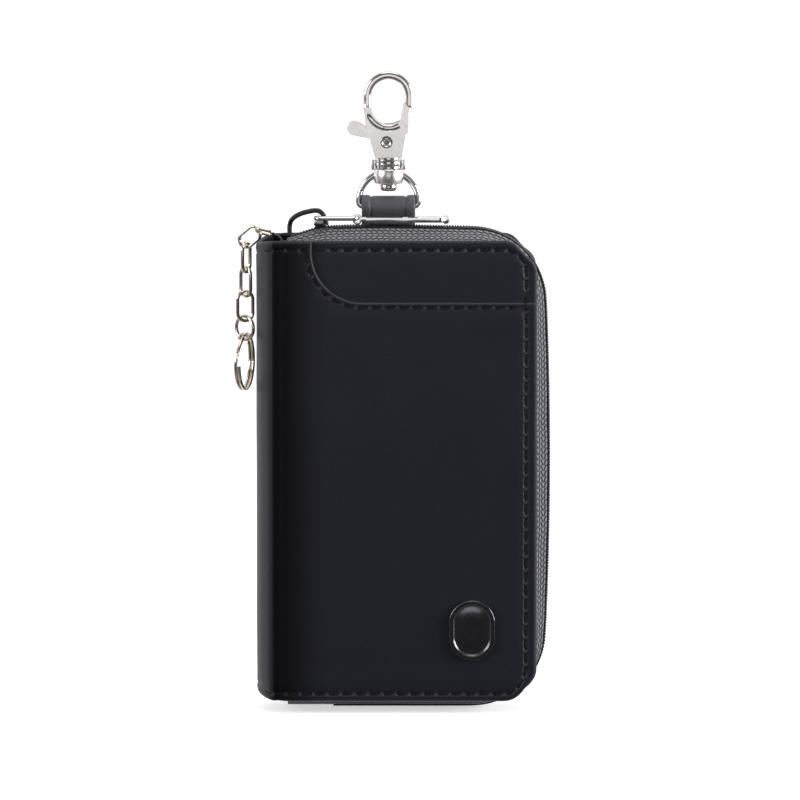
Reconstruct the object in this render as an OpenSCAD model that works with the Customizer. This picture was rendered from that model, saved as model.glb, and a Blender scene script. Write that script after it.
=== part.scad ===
// Zip-around key case in book form that hangs from a swivelling trigger hook.
// The origin is the inner top of the hook's eye. +Z is up, +X points to the zip side, -Y is the front.

/* [Hook] */
// Inner width of the hook's eye
eye_w = 9.2; // [8.6:0.1:10]
// Inner length of the hook's eye
eye_l = 12; // [11.6:0.1:14]
// Width of the eye's wire seen from the front
eye_wire = 1.8; // [1.5:0.1:2.1]
// Thickness of the eye's wire from front to back
eye_t = 2.8; // [2.2:0.1:3.4]
// Thickness of the hook's body from front to back
hook_t = 4; // [3.6:0.1:4.6]
// Length of the body between the eye and the collar
body_l = 8.6; // [8:0.1:11]
// Diameter of the collar under the body
collar_d = 7; // [6.4:0.1:7.6]
// Height of the collar
collar_h = 2.8; // [2.2:0.1:3.6]

/* [Gate] */
// Thickness of the gate and its thumb lever
gate_t = 1.7; // [1.2:0.1:2]
// Width of the gate seen from the front
gate_w = 1.7; // [1.3:0.1:2]
// Radius of the boss that turns on the rivet
gate_boss_r = 2; // [1.7:0.1:2.3]
// Radius of the thumb lever's round end
thumb_r = 1.9; // [1.4:0.1:2.2]
// Diameter of the rivet's shank
rivet_d = 1.6; // [1.2:0.1:2]
// Diameter of the rivet's head
rivet_head_d = 3.1; // [2.6:0.1:3.6]

/* [Swivel ring] */
// Outer width of the D-ring
ring_w = 17.3; // [16.5:0.1:20]
// Diameter of the ring's wire
ring_wire = 1.7; // [1.3:0.1:2]
// Radius of the ring's lower corners at the middle of the wire
ring_corner_r = 1.2; // [1.1:0.1:1.6]
// Diameter of the barrel
barrel_d = 7.8; // [7.2:0.1:8.6]
// Height of the barrel
barrel_h = 3.85; // [3.2:0.1:4.6]
// Diameter of the swivel pin
pin_d = 3; // [2.4:0.1:3.4]
// Diameter of the pin's peened head
pin_head_d = 4.4; // [3.8:0.1:5]
// Height of the pin's peened head
pin_head_h = 1.9; // [1.4:0.1:2.2]

/* [Hang tab] */
// Width of the leather tab
tab_w = 13.3; // [12:0.1:13.4]
// Thickness of the tab's leather
tab_t = 1.3; // [1:0.1:1.5]
// Distance from the ring's bar to the covers' top edge
tab_reach = 7.7; // [7:0.1:10]
// Depth of the tab's sewn tail below the covers' top edge
tab_tail = 9; // [6:0.5:14]

/* [Case] */
// Height of the covers
cover_h = 119.8; // [112:0.5:130]
// Width of the covers from the spine's crease to the zip side
cover_w = 68; // [64:0.5:76]
// Distance from the hang tab's middle to the covers' zip side
tab_to_edge = 38; // [36:0.5:42]
// Overall thickness of the closed case
case_t = 23; // [22.5:0.5:26]
// Thickness of the cover leather
leather_t = 1.2; // [0.9:0.1:1.4]
// Thickness of a lining with its board
lining_t = 1.2; // [0.8:0.1:1.4]
// Radius of the covers' outer corners
corner_r = 8; // [7:0.5:10]
// How far the spine's leather bulges beyond the creases
spine_bulge = 3.9; // [3:0.1:5]
// How far the spine's ends sit inside the covers' ends
spine_drop = 1.6; // [1.2:0.1:2.2]
// Half the opening left between two panels at a crease
crease_gap = 0.5; // [0.45:0.05:0.7]

/* [Front pocket] */
// Distance from the crease to the scoop's upright edge
scoop_x = 9.1; // [6:0.1:14]
// Depth of the pocket's mouth below the covers' top edge
scoop_depth = 15.6; // [13:0.1:22]
// Radius of the scoop's round corner
scoop_r = 12.6; // [6:0.1:13]

/* [Zip] */
// Height of the zip's ridge beyond the covers' edge
ridge_rise = 3.4; // [2.8:0.1:4]
// Radius of the zip's sewn line at both corners
zip_corner_r = 16; // [12:0.5:18]
// Thickness of the zip tape
tape_t = 0.8; // [0.5:0.1:0.9]
// Width of the tape's sewn margin on the lining
tape_margin = 5; // [3:0.5:6]
// Width of one row of coils
coil_w = 2.1; // [1.6:0.1:2.3]
// Height of one row of coils
coil_h = 1.6; // [1.2:0.1:1.7]
// Clear distance between the two rows of coils
coil_gap = 1; // [0.9:0.1:1.2]
// Width of one tooth along the zip
tooth_w = 0.9; // [0.6:0.1:1.2]
// Distance from one tooth to the next of the same row
tooth_pitch = 2; // [1.8:0.1:3]

/* [Slider and pull] */
// Length of the slider's body
slider_l = 11; // [9:0.1:12]
// Width of the slider's body
slider_w = 8.4; // [7.8:0.1:9]
// Thickness of the slider's plates
slider_t = 0.8; // [0.6:0.1:1]
// Travel of the slider along the straight top run
slider_travel = 36; // [20:1:37]
// Width of the bail over the slider
bail_w = 2.4; // [1.8:0.1:2.8]
// Thickness of the bail's band
bail_t = 0.95; // [0.7:0.05:1.05]
// Outer length of the pull's wire link
link_l = 12; // [10:0.1:14]
// Outer width of the pull's wire link
link_w = 6; // [5.6:0.1:6.4]
// Diameter of the link's wire
link_wire = 1.2; // [1:0.1:1.3]
// Length of the pull plate from the link's end wire
plate_l = 24; // [18:0.1:28]
// Width of the pull plate
plate_w = 5.6; // [5:0.1:6.2]
// Thickness of the pull plate
plate_t = 1.1; // [0.8:0.1:1.3]

/* [Chain] */
// Outer length of an oval chain link
chain_l = 8.6; // [7.6:0.1:9]
// Outer width of an oval chain link
chain_w = 5; // [4.8:0.1:5.2]
// Diameter of the chain's wire
chain_wire = 0.85; // [0.7:0.05:0.9]
// Play between two chained pieces
chain_play = 0.5; // [0.45:0.05:0.7]
// Outer length of the link that leans on the spine's top edge
top_link_l = 7.4; // [7:0.1:8]
// Outer width of that link
top_link_w = 4.8; // [4.6:0.1:5]
// Outer diameter of the jump ring
jump_d = 7.2; // [7:0.1:7.4]
// Outer diameter of the split ring
split_d = 15.4; // [14:0.1:18]
// Diameter of one turn's section in the split ring
split_wire = 1; // [0.8:0.05:1.2]

/* [Key rail] */
// Distance from the covers' sides to the rail's ends
rail_side = 7.35; // [7.2:0.05:9]
// Number of key hooks
hook_count = 6; // [6]
// Depth of the rail's top below the covers' top edge
rail_drop = 11; // [10:0.5:18]
// Height of the rail's flat plate
rail_h = 9; // [7:0.5:12]
// Thickness of the rail's plate
rail_t = 0.8; // [0.6:0.1:0.9]
// Outer radius of the rail's curl
curl_r = 1.5; // [1.3:0.1:1.6]
// Radius of the rail's rod
rod_r = 0.75; // [0.6:0.05:0.8]
// Length of a key hook below the rod
key_hook_l = 26; // [22:0.5:30]
// Gap between two neighbouring key hooks
key_gap = 1.6; // [1.4:0.1:2]
// Diameter of a key hook's wire
key_hook_wire = 1.2; // [1:0.1:1.3]

/* [Badge] */
// Width of the plain badge plate
badge_w = 12; // [8:0.1:14]
// Height of the plain badge plate
badge_h = 15.8; // [14:0.1:20]
// Thickness of the badge's rim
badge_t = 1.2; // [0.8:0.1:1.6]
// Distance from the covers' zip side to the badge's middle
badge_in = 16.2; // [12:0.1:30]
// Height of the badge's middle above the covers' lower edge
badge_up = 18.4; // [14:0.1:40]

/* [Hidden] */
$fn = 48;

// Fits and overruns shared by all pieces
clear = 0.3;
run_fit = 0.06;
fast_fit = 0.02;
over = 1;

// Hook levels
eye_r = eye_w / 2;
eye_out_r = eye_r + eye_wire;
eye_low_z = -(eye_l - eye_r);
body_top_z = -eye_l;
collar_z = -(eye_l + body_l);
barrel_z = collar_z - collar_h - clear / 2;
rivet_x = -0.05435 * eye_w;
rivet_drop = 0.52326 * body_l;
rivet_z = body_top_z - rivet_drop;
slot_t = gate_t + 2 * clear;

// Swivel ring levels
ring_r = (ring_w - ring_wire) / 2;
ring_c_z = barrel_z - ring_w / 2;
bar_z = ring_c_z - ring_corner_r;
bar_r = ring_wire / 2;

// Case levels and planes
top_z = bar_z - tab_reach;
low_z = top_z - cover_h;
mid_z = (top_z + low_z) / 2;
edge_x = tab_to_edge;
crease_x = edge_x - cover_w;
back_in_y = tab_t;
back_out_y = back_in_y + leather_t;
front_out_y = back_out_y - case_t;
front_in_y = front_out_y + leather_t;
mid_y = (back_out_y + front_out_y) / 2;
back_lin_y = back_in_y - lining_t;
pocket_in_y = front_in_y + leather_t;
front_lin_y = pocket_in_y + lining_t;
corner_x = edge_x - corner_r;
corner_z = top_z - corner_r;
zip_x = edge_x - zip_corner_r;
zip_z = top_z - zip_corner_r;

// Spine arc through both creases
chord = case_t / 2 - leather_t / 2;
spine_r = (chord * chord + spine_bulge * spine_bulge) / (2 * spine_bulge);
spine_x = crease_x - spine_bulge + spine_r;
spine_a = asin(chord / spine_r);
spine_top_z = top_z - spine_drop;
spine_low_z = low_z + spine_drop;

// Zip section, measured out from the covers' edge and in from the lining
tape_in = 1;
tape_left_x = crease_x + 3 * leather_t;
coil_top = ridge_rise;
coil_low = ridge_rise - coil_h;
inset = 1.6;

// Slider and pull levels
ridge_z = top_z + ridge_rise;
slider_x = tape_left_x;
plate_low_z = ridge_z + clear;
plate_top_z = plate_low_z + slider_t;
bail_hole_r = link_wire / 2 + clear + 0.05 * link_wire;
bail_r = bail_hole_r + bail_t;
pull_z = plate_top_z + bail_hole_r;
pull_x = slider_x + slider_l * 0.68;
link_end_x = pull_x + link_l - link_wire;
knuckle_r = link_wire / 2 + run_fit + 0.5 * plate_t;

// Hook for keys and rail levels
rail_mid_x = (crease_x + edge_x) / 2 - leather_t / 2;
rail_top_z = top_z - rail_drop;
rod_z = rail_top_z - rail_h - curl_r;
rod_y = back_lin_y - curl_r - 0.25 * rail_t;
rail_l = cover_w - 2 * rail_side;
hook_pitch = rail_l / (hook_count + 0.5);
knuckle_w = hook_pitch / 2;
key_hook_w = hook_pitch - key_gap;
eye_in_r = rod_r + run_fit;
hook_eye_r = eye_in_r + 0.45 * key_hook_wire;
hook_eye_w = knuckle_w - 2 * clear;

// Chain levels. Each piece has its own turn about Z and its own sideways place
link_step = chain_l - 2 * chain_wire - chain_play;
top_lean = 40;
top_turn = -20;
drop_share = 0.83;
link_turns = [62, -50, 14, -44, 76];
side_shares = [0, 0.18, 0.35, 0.47, 0.59];
chain_x = spine_x - spine_r - leather_t / 2 - chain_w / 2 - clear / 3;
link_x = [for (s = side_shares) chain_x - s * chain_wire];
hook_point_z = spine_top_z - drop_share * chain_wire;
hang_z = hook_point_z + 1.5 * chain_wire + 0.8 * chain_play;
jump_z = hang_z - 3 * link_step;
split_z = jump_z - (jump_d - 1.5 * chain_wire - 1.5 * chain_play - split_wire / 2);
turn_gap = 0.06 * split_wire;

// Middle of the leaning link, worked out from its lowest point
top_link_r = (top_link_w - chain_wire) / 2;
top_link_s = (top_link_l - top_link_w) / 2;
top_link_dir = [cos(top_lean) * cos(top_turn), cos(top_lean) * sin(top_turn), sin(top_lean)];
top_link_mid = [chain_x, mid_y, hook_point_z + top_link_r] + top_link_s * top_link_dir;

// Colours
nickel = [0.78, 0.77, 0.75];
chrome = [0.82, 0.82, 0.84];
gold = [0.80, 0.72, 0.60];
leather = [0.11, 0.11, 0.14];
tape_grey = [0.24, 0.24, 0.27];
coil_black = [0.08, 0.08, 0.10];
cloth_black = [0.14, 0.14, 0.16];
gunmetal = [0.25, 0.25, 0.27];
steel = [0.62, 0.63, 0.65];

// Places the children's plane, drawn in X and Z, with its thickness running forward from y
module panel(y, t) {
  translate([0, y, 0]) rotate([90, 0, 0]) linear_extrude(t) children();
}

// Runs the children's plane, drawn in Y and Z, along X
module run_x(x, l) {
  translate([x, 0, 0]) rotate([90, 0, 90]) linear_extrude(l) children();
}

// A bar or bore of radius r along Y, between two planes
module rod_y_dir(x, z, r, y_low, y_high) {
  translate([x, y_high, z]) rotate([90, 0, 0]) cylinder(r = r, h = y_high - y_low);
}

// A bar or bore of radius r along X
module rod_x_dir(x, y, z, r, l) {
  translate([x, y, z]) rotate([0, 90, 0]) cylinder(r = r, h = l);
}

// An arc of round wire in the XZ plane
module wire_arc(x, z, r, wire, from, sweep) {
  translate([x, 0, z]) rotate([90, 0, 0]) rotate([0, 0, from])
    rotate_extrude(angle = sweep) translate([r, 0]) circle(d = wire);
}

// A closed oval of round wire in the XZ plane, with its centre at the origin
module oval(l, w, wire) {
  r = (w - wire) / 2;
  s = (l - w) / 2;
  wire_arc(0, s, r, wire, 0, 180);
  wire_arc(0, -s, r, wire, 180, 180);
  for (x = [-r, r]) {
    translate([x, 0, -s]) cylinder(d = wire, h = 2 * s);
  }
}

// Outline of a cover between the crease and the zip side, drawn in from its edge
module cover_outline(x_left, m) {
  r = corner_r - m;
  translate([x_left, low_z + m]) square([corner_x - x_left, cover_h - 2 * m]);
  translate([corner_x, low_z + corner_r]) square([r, cover_h - 2 * corner_r]);
  for (z = [low_z + corner_r, corner_z]) {
    translate([corner_x, z]) circle(r = r);
  }
}

// Wire section of the eye with flattened edges
function eye_section() = let (a = eye_wire / 2, b = eye_t / 2, c = eye_wire / 4) [
  [-a, -b + c], [-a + c, -b], [a - c, -b], [a, -b + c],
  [a, b - c], [a - c, b], [-a + c, b], [-a, b - c]
];

module eye_bend(z, from, sweep) {
  translate([0, 0, z]) rotate([90, 0, 0]) rotate([0, 0, from])
    rotate_extrude(angle = sweep) translate([eye_r + eye_wire / 2, 0]) polygon(eye_section());
}

module eye_leg(x, z_low, z_high) {
  translate([x, 0, z_low]) linear_extrude(z_high - z_low) polygon(eye_section());
}

// The body's outline below the eye
module body_outline() {
  half = collar_d / 2;
  polygon([
    [-eye_out_r * 0.98, eye_low_z], [-eye_out_r * 0.95, body_top_z + 0.06 * body_l],
    [-half, collar_z], [half, collar_z],
    [eye_r + eye_wire * 0.1, body_top_z - 0.06 * body_l], [eye_r * 0.8, body_top_z + 0.08 * body_l],
    [0, eye_low_z]
  ]);
}

// Room inside the body for the lever, open to the left and towards the gate
module slot_outline() {
  difference() {
    polygon([
      [-eye_out_r - thumb_r, body_top_z + 0.1 * body_l],
      [-eye_out_r - thumb_r, rivet_z - thumb_r],
      [rivet_x - gate_boss_r, rivet_z - gate_boss_r - clear],
      [rivet_x + gate_boss_r, rivet_z - gate_boss_r - clear],
      [eye_out_r, rivet_z], [eye_out_r, body_top_z + eye_r * 0.5],
      [rivet_x + gate_boss_r * 0.7, body_top_z + eye_r * 0.5]
    ]);
    intersection() {
      translate([0, eye_low_z]) circle(r = eye_out_r + clear / 2);
      translate([-eye_out_r - thumb_r, body_top_z - eye_out_r])
        square([eye_out_r + thumb_r + rivet_x - gate_boss_r * 0.3, 2 * eye_out_r]);
    }
  }
}

// The nose ends on a slope that the gate's tip meets from inside
nose_sum = -(eye_w * 0.17);

module nose_side() {
  s = 4 * eye_w;
  polygon([[nose_sum + s, -s], [nose_sum + s, s], [nose_sum - s, s]]);
}

module hook_body() {
  color(nickel) difference() {
    union() {
      eye_bend(-eye_r, 0, 180);
      eye_leg(-(eye_r + eye_wire / 2), eye_low_z, -eye_r);
      intersection() {
        eye_leg(eye_r + eye_wire / 2, body_top_z, -eye_r);
        panel(eye_t, 2 * eye_t) nose_side();
      }
      eye_bend(eye_low_z, 180, 115);
      difference() {
        panel(hook_t / 2, hook_t) body_outline();
        panel(hook_t, 2 * hook_t) union() {
          translate([0, eye_low_z]) circle(r = eye_r);
          translate([-eye_r, eye_low_z]) square([eye_w, eye_r]);
        }
      }
      translate([0, 0, collar_z - collar_h]) cylinder(d = collar_d, h = collar_h);
    }
    panel(slot_t / 2, slot_t) slot_outline();
    rod_y_dir(rivet_x, rivet_z, rivet_d / 2 + fast_fit, -hook_t, hook_t);
    translate([0, 0, collar_z - collar_h - over]) cylinder(d = pin_d + 2 * fast_fit, h = collar_h + over);
  }
}

module gate_rivet() {
  head_t = 0.35 * rivet_d;
  color(nickel) {
    rod_y_dir(rivet_x, rivet_z, rivet_d / 2, -hook_t / 2 - head_t, hook_t / 2 + head_t);
    difference() {
      rod_y_dir(rivet_x, rivet_z, rivet_head_d / 2, -hook_t / 2 - head_t, -hook_t / 2);
      rod_y_dir(rivet_x, rivet_z, rivet_d / 3, -hook_t, -hook_t / 2 - head_t / 2);
    }
    rod_y_dir(rivet_x, rivet_z, rivet_head_d / 2, hook_t / 2, hook_t / 2 + head_t);
  }
}

// Coil of the gate's return spring beside the boss, with one leg on the slot's floor
spring_wire = 0.3;
spring_y = slot_t / 2 - spring_wire / 2 - fast_fit;

module gate_spring() {
  r = rivet_d / 2 + spring_wire;
  leg = gate_boss_r + clear;
  color(steel) translate([0, spring_y, 0]) {
    wire_arc(rivet_x, rivet_z, r, spring_wire, -90, 270);
    translate([rivet_x - r, 0, rivet_z - leg]) cylinder(d = spring_wire, h = leg);
  }
}

// The boss leaves room for the spring on its back face
module gate_lever() {
  thumb_x = -(eye_r + eye_wire + thumb_r * 1.3);
  thumb_z = rivet_z + 1.9 * thumb_r;
  tip_x = eye_r + 0.2 * gate_w;
  root_x = eye_r - 0.75 * gate_w;
  root_z = body_top_z - 0.1 * eye_r;
  color(nickel) difference() {
    union() {
      panel(gate_t / 2, gate_t) difference() {
        union() {
          translate([rivet_x, rivet_z]) circle(r = gate_boss_r);
          polygon([
            [rivet_x + gate_boss_r * 0.2, rivet_z - gate_boss_r * 0.9],
            [root_x + gate_w, root_z - gate_w], [tip_x + gate_w / 2, -eye_r],
            [tip_x - gate_w / 2, -eye_r], [root_x - gate_w * 0.3, root_z],
            [rivet_x - gate_boss_r * 0.4, rivet_z + gate_boss_r * 0.8]
          ]);
          hull() {
            translate([thumb_x, thumb_z]) circle(r = thumb_r, $fn = 32);
            translate([(thumb_x + rivet_x) / 2, (thumb_z + rivet_z) / 2 + 0.1 * thumb_r])
              circle(r = thumb_r * 0.62, $fn = 32);
          }
          polygon([
            [(thumb_x + rivet_x) / 2, (thumb_z + rivet_z) / 2 + thumb_r * 0.6],
            [(thumb_x + rivet_x) / 2, (thumb_z + rivet_z) / 2 - thumb_r * 0.5],
            [rivet_x, rivet_z - gate_boss_r * 0.7], [rivet_x, rivet_z + gate_boss_r * 0.7]
          ]);
        }
        translate([-clear * sqrt(2), 0]) nose_side();
      }
    }
    rod_y_dir(rivet_x, rivet_z, rivet_d / 2 + run_fit, -gate_t, gate_t);
    rod_y_dir(rivet_x, rivet_z, gate_boss_r + clear, gate_t / 2 - spring_wire, gate_t);
  }
}

module swivel_pin() {
  shank = barrel_h + collar_h + clear / 2;
  foot = barrel_z - barrel_h - clear / 2;
  color(nickel) {
    translate([0, 0, foot]) cylinder(d = pin_d, h = shank + clear / 2);
    translate([0, 0, foot - pin_head_h / 2]) cylinder(d = pin_head_d, h = pin_head_h / 2);
    translate([0, 0, foot - pin_head_h])
      cylinder(d1 = pin_head_d * 0.86, d2 = pin_head_d, h = pin_head_h / 2);
  }
}

module swivel_ring() {
  ear_in = collar_d / 2 + clear / 2;
  ear_out = ear_in + 0.2 * collar_d / 2;
  ear_h = collar_h - clear;
  leg = ring_r - ring_corner_r;
  color(chrome) difference() {
    union() {
      wire_arc(0, ring_c_z, ring_r, ring_wire, 0, 180);
      wire_arc(-leg, ring_c_z, ring_corner_r, ring_wire, 180, 90);
      wire_arc(leg, ring_c_z, ring_corner_r, ring_wire, 270, 90);
      rod_x_dir(-leg, 0, bar_z, bar_r, 2 * leg);
      translate([0, 0, barrel_z - barrel_h]) cylinder(d = barrel_d, h = barrel_h);
      intersection() {
        translate([0, 0, barrel_z]) difference() {
          cylinder(r = ear_out, h = ear_h);
          translate([0, 0, -over]) cylinder(r = ear_in, h = ear_h + 2 * over);
        }
        translate([-ear_out, -barrel_d / 6, barrel_z - over])
          cube([2 * ear_out, barrel_d / 3, ear_h + 2 * over]);
      }
    }
    translate([0, 0, barrel_z - barrel_h - over]) cylinder(d = pin_d + 2 * run_fit, h = barrel_h + 2 * over);
  }
}

module hang_tab() {
  loop_r = bar_r + run_fit + tab_t;
  color(leather) run_x(-tab_w / 2, tab_w) difference() {
    union() {
      translate([0, bar_z]) circle(r = loop_r);
      polygon([
        [-loop_r * 0.88, bar_z - loop_r * 0.5], [-tab_t, bar_z - loop_r * 1.5], [-tab_t, top_z + tab_t],
        [back_lin_y, top_z], [back_lin_y, top_z - tab_tail], [back_in_y, top_z - tab_tail],
        [back_in_y, bar_z - loop_r * 1.5], [loop_r * 0.88, bar_z - loop_r * 0.5]
      ]);
    }
    translate([0, bar_z]) circle(r = bar_r + run_fit);
  }
}

module back_cover() {
  color(leather) panel(back_out_y, leather_t) cover_outline(crease_x + crease_gap, 0);
}

rivet_r = 1;
rivet_in = 1.5 * curl_r;

module rail_holes(r) {
  for (x = [rail_mid_x - rail_l / 2 + rivet_in, rail_mid_x + rail_l / 2 - rivet_in]) {
    translate([x, rail_top_z - rail_h / 2]) circle(r = r);
  }
}

module back_lining() {
  color(cloth_black) panel(back_in_y, lining_t) difference() {
    cover_outline(crease_x + 3 * leather_t, inset);
    translate([-tab_w / 2 - clear / 6, top_z - tab_tail - clear / 6])
      square([tab_w + clear / 3, tab_tail + over]);
    rail_holes(rivet_r + fast_fit);
  }
}

// Section of one zip tape: u runs out from the covers' edge, v runs in from the lining's face
function tape_section(depth) = let (tip = depth - coil_gap / 2) [
  [-tape_margin - tape_in, 0], [-tape_in, 0], [0.62 * coil_low, 0.42 * depth], [coil_low, 0.75 * depth],
  [coil_low, tip], [coil_low - tape_t, tip], [coil_low - tape_t, 0.75 * depth],
  [0.62 * coil_low - tape_t * 1.1, 0.42 * depth],
  [-tape_in - tape_t * 0.6, tape_t], [-tape_margin - tape_in, tape_t]
];

function strip_section(depth) = let (tip = depth - coil_gap / 2, root = tip - coil_w, c = coil_h / 4) [
  [coil_low, root], [coil_low, tip], [coil_top - 1.5 * c, tip],
  [coil_top - 1.5 * c, root + c], [coil_top - 2.5 * c, root]
];

function tooth_section(depth) = let (tip = depth - coil_gap / 2, root = tip - coil_w, c = coil_h / 4) [
  [coil_low, root], [coil_low, tip], [coil_top - c, tip],
  [coil_top, tip - c], [coil_top, root + c], [coil_top - c, root]
];

// Sweeps a section round the top, the zip side and the bottom
// face is the lining's plane and dir points inwards
module rim(pts, face, dir, x_left) {
  for (side = [0, 1]) {
    translate([0, 0, side * 2 * mid_z]) mirror([0, 0, side]) {
      run_x(x_left, zip_x - x_left) polygon([for (p = pts) [face + dir * p.y, top_z + p.x]]);
      translate([zip_x, 0, zip_z]) rotate([90, 0, 0]) rotate_extrude(angle = 90)
        polygon([for (p = pts) [zip_corner_r + p.x, -(face + dir * p.y)]]);
    }
  }
  translate([0, 0, low_z + zip_corner_r]) linear_extrude(cover_h - 2 * zip_corner_r)
    polygon([for (p = pts) [edge_x + p.x, face + dir * p.y]]);
}

// Teeth in one pitch along the same three runs, each a slice of the section
module teeth(pts, face, dir, x_left) {
  count = floor((zip_x - x_left) / tooth_pitch);
  arc_count = floor(zip_corner_r * PI / 2 / tooth_pitch);
  side_count = floor((cover_h / 2 - zip_corner_r) / tooth_pitch);
  for (side = [0, 1]) {
    translate([0, 0, side * 2 * mid_z]) mirror([0, 0, side]) {
      for (i = [0 : count - 1]) {
        run_x(x_left + i * tooth_pitch, tooth_w) polygon([for (p = pts) [face + dir * p.y, top_z + p.x]]);
      }
      for (i = [0 : arc_count]) {
        translate([zip_x, 0, zip_z]) rotate([0, 90 * i / arc_count, 0])
          run_x(-tooth_w / 2, tooth_w) polygon([for (p = pts) [face + dir * p.y, zip_corner_r + p.x]]);
      }
      for (i = [1 : side_count]) {
        translate([edge_x, 0, zip_z - i * tooth_pitch]) rotate([0, 90, 0])
          run_x(-tooth_w / 2, tooth_w) polygon([for (p = pts) [face + dir * p.y, p.x]]);
      }
    }
  }
}

back_depth = back_lin_y - mid_y;
front_depth = mid_y - front_lin_y;

module zip_tape_back() {
  color(tape_grey) rim(tape_section(back_depth), back_lin_y, -1, tape_left_x);
}

module zip_coil_back() {
  color(coil_black) {
    rim(strip_section(back_depth), back_lin_y, -1, tape_left_x + over);
    teeth(tooth_section(back_depth), back_lin_y, -1, tape_left_x + over + tooth_w);
  }
}

module zip_tape_front() {
  color(tape_grey) rim(tape_section(front_depth), front_lin_y, 1, tape_left_x);
}

module zip_coil_front() {
  color(coil_black) difference() {
    union() {
      rim(strip_section(front_depth), front_lin_y, 1, tape_left_x + over);
      teeth(tooth_section(front_depth), front_lin_y, 1, tape_left_x + over + tooth_w);
    }
    translate([tape_left_x, front_lin_y, top_z]) cube([slider_l + 2 * clear, front_depth, 2 * ridge_rise]);
  }
}

// A clamped stop on the back tape's end
module zip_stop() {
  color(gunmetal) translate([tape_left_x, back_lin_y - back_depth + coil_gap / 2, top_z + coil_low])
    cube([over, coil_w, coil_h]);
}

module key_rail() {
  color(steel) difference() {
    union() {
      panel(back_lin_y, rail_t) difference() {
        translate([rail_mid_x - rail_l / 2, rod_z + curl_r * 0.9]) square([rail_l, rail_h + curl_r * 0.1]);
        rail_holes(rivet_r + fast_fit);
      }
      for (i = [0 : hook_count]) {
        x = rail_mid_x - rail_l / 2 + i * hook_pitch;
        rod_x_dir(x, rod_y, rod_z, curl_r, knuckle_w);
        translate([x, back_lin_y - rail_t, rod_z]) cube([knuckle_w, rail_t, curl_r]);
      }
    }
    rod_x_dir(rail_mid_x - rail_l / 2 - over, rod_y, rod_z, rod_r + fast_fit, rail_l + 2 * over);
  }
}

module rail_rod() {
  color(steel) rod_x_dir(rail_mid_x - rail_l / 2, rod_y, rod_z, rod_r, rail_l);
}

module rail_rivets() {
  head = 1.9 * rivet_r;
  color(steel) {
    panel(back_in_y, lining_t + rail_t) rail_holes(rivet_r);
    panel(back_lin_y - rail_t, rail_t * 0.7) rail_holes(head);
  }
}

// One key hook: an eye on the rod, a short shank and a closed loop
module key_hook(i) {
  x = rail_mid_x - rail_l / 2 + (i - 1) * hook_pitch + knuckle_w + hook_pitch / 2 - knuckle_w / 2;
  shank = 0.24 * key_hook_l;
  loop_l = key_hook_l - shank;
  color(steel) translate([x, rod_y, rod_z]) difference() {
    union() {
      rod_x_dir(-hook_eye_w / 2, 0, 0, hook_eye_r, hook_eye_w);
      translate([0, 0, -shank - key_hook_wire / 2])
        cylinder(d = key_hook_wire, h = shank + key_hook_wire / 2);
      translate([0, 0, -shank - loop_l / 2]) difference() {
        oval(loop_l, key_hook_w, key_hook_wire);
        translate([-key_hook_w, -key_hook_wire, loop_l / 2 - key_hook_w * 0.8]) rotate([0, -30, 0])
          cube([key_hook_w, 2 * key_hook_wire, clear]);
      }
    }
    rod_x_dir(-hook_eye_w, 0, 0, eye_in_r, 2 * hook_eye_w);
  }
}

module key_hook_1() { key_hook(1); }
module key_hook_2() { key_hook(2); }
module key_hook_3() { key_hook(3); }
module key_hook_4() { key_hook(4); }
module key_hook_5() { key_hook(5); }
module key_hook_6() { key_hook(6); }

// A curved wall of the spine between two radii, trimmed near both creases
module spine_wall(r_in, r_out, half_a, z_low, z_high) {
  reach = 2 * spine_r;
  translate([spine_x, mid_y, z_low]) linear_extrude(z_high - z_low) intersection() {
    difference() {
      circle(r = r_out);
      circle(r = r_in);
    }
    polygon([
      [0, 0], [-reach * cos(half_a), reach * sin(half_a)], [-reach * 1.2, 0],
      [-reach * cos(half_a), -reach * sin(half_a)]
    ]);
  }
}

module spine_cover() {
  half_a = spine_a - asin(crease_gap / spine_r);
  t = leather_t / 2;
  color(leather) spine_wall(spine_r - t, spine_r + t, half_a, spine_low_z, spine_top_z);
}

lining_thin = lining_t * 0.6;

module spine_lining() {
  r = spine_r - leather_t / 2;
  color(cloth_black)
    spine_wall(r - lining_thin, r, spine_a * 0.64, spine_low_z + inset, spine_top_z - inset / 2);
}

// A tongue sewn inside the spine loops round the upper end of the leaning link
module chain_anchor() {
  strap_w = 0.34 * chain_w;
  strap_t = 0.75 * chain_wire;
  bore_r = 0.82 * chain_wire;
  reach = top_link_s * [top_link_dir.x, top_link_dir.y] + top_link_r * [cos(top_turn), sin(top_turn)];
  eye_x = top_link_mid.x + reach.x;
  eye_y = top_link_mid.y + reach.y;
  eye_z = top_link_mid.z + top_link_s * top_link_dir.z;
  wall_x = spine_x - spine_r + leather_t / 2 + lining_thin + 0.25 * chain_wire;
  color(leather) difference() {
    union() {
      translate([eye_x, eye_y, eye_z - strap_w / 2]) cylinder(r = bore_r + strap_t, h = strap_w);
      translate([eye_x, eye_y - strap_w / 2, eye_z - strap_w / 2])
        cube([wall_x + strap_t - eye_x, strap_w, strap_t]);
      translate([wall_x, eye_y - strap_w / 2, eye_z - strap_w / 2 - chain_l])
        cube([strap_t, strap_w, chain_l + strap_t]);
    }
    translate([eye_x, eye_y, eye_z - strap_w]) cylinder(r = bore_r, h = 2 * strap_w);
  }
}

// The link that leans over the spine's top edge
module chain_top_link() {
  color(gold) translate(top_link_mid) rotate([0, 90 - top_lean, top_turn])
    oval(top_link_l, top_link_w, chain_wire);
}

// A hanging link, turned about Z
module hang_link(i) {
  color(gold) translate([link_x[i], mid_y, hang_z - i * link_step - chain_l / 2])
    rotate([0, 0, link_turns[i]]) oval(chain_l, chain_w, chain_wire);
}

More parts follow.
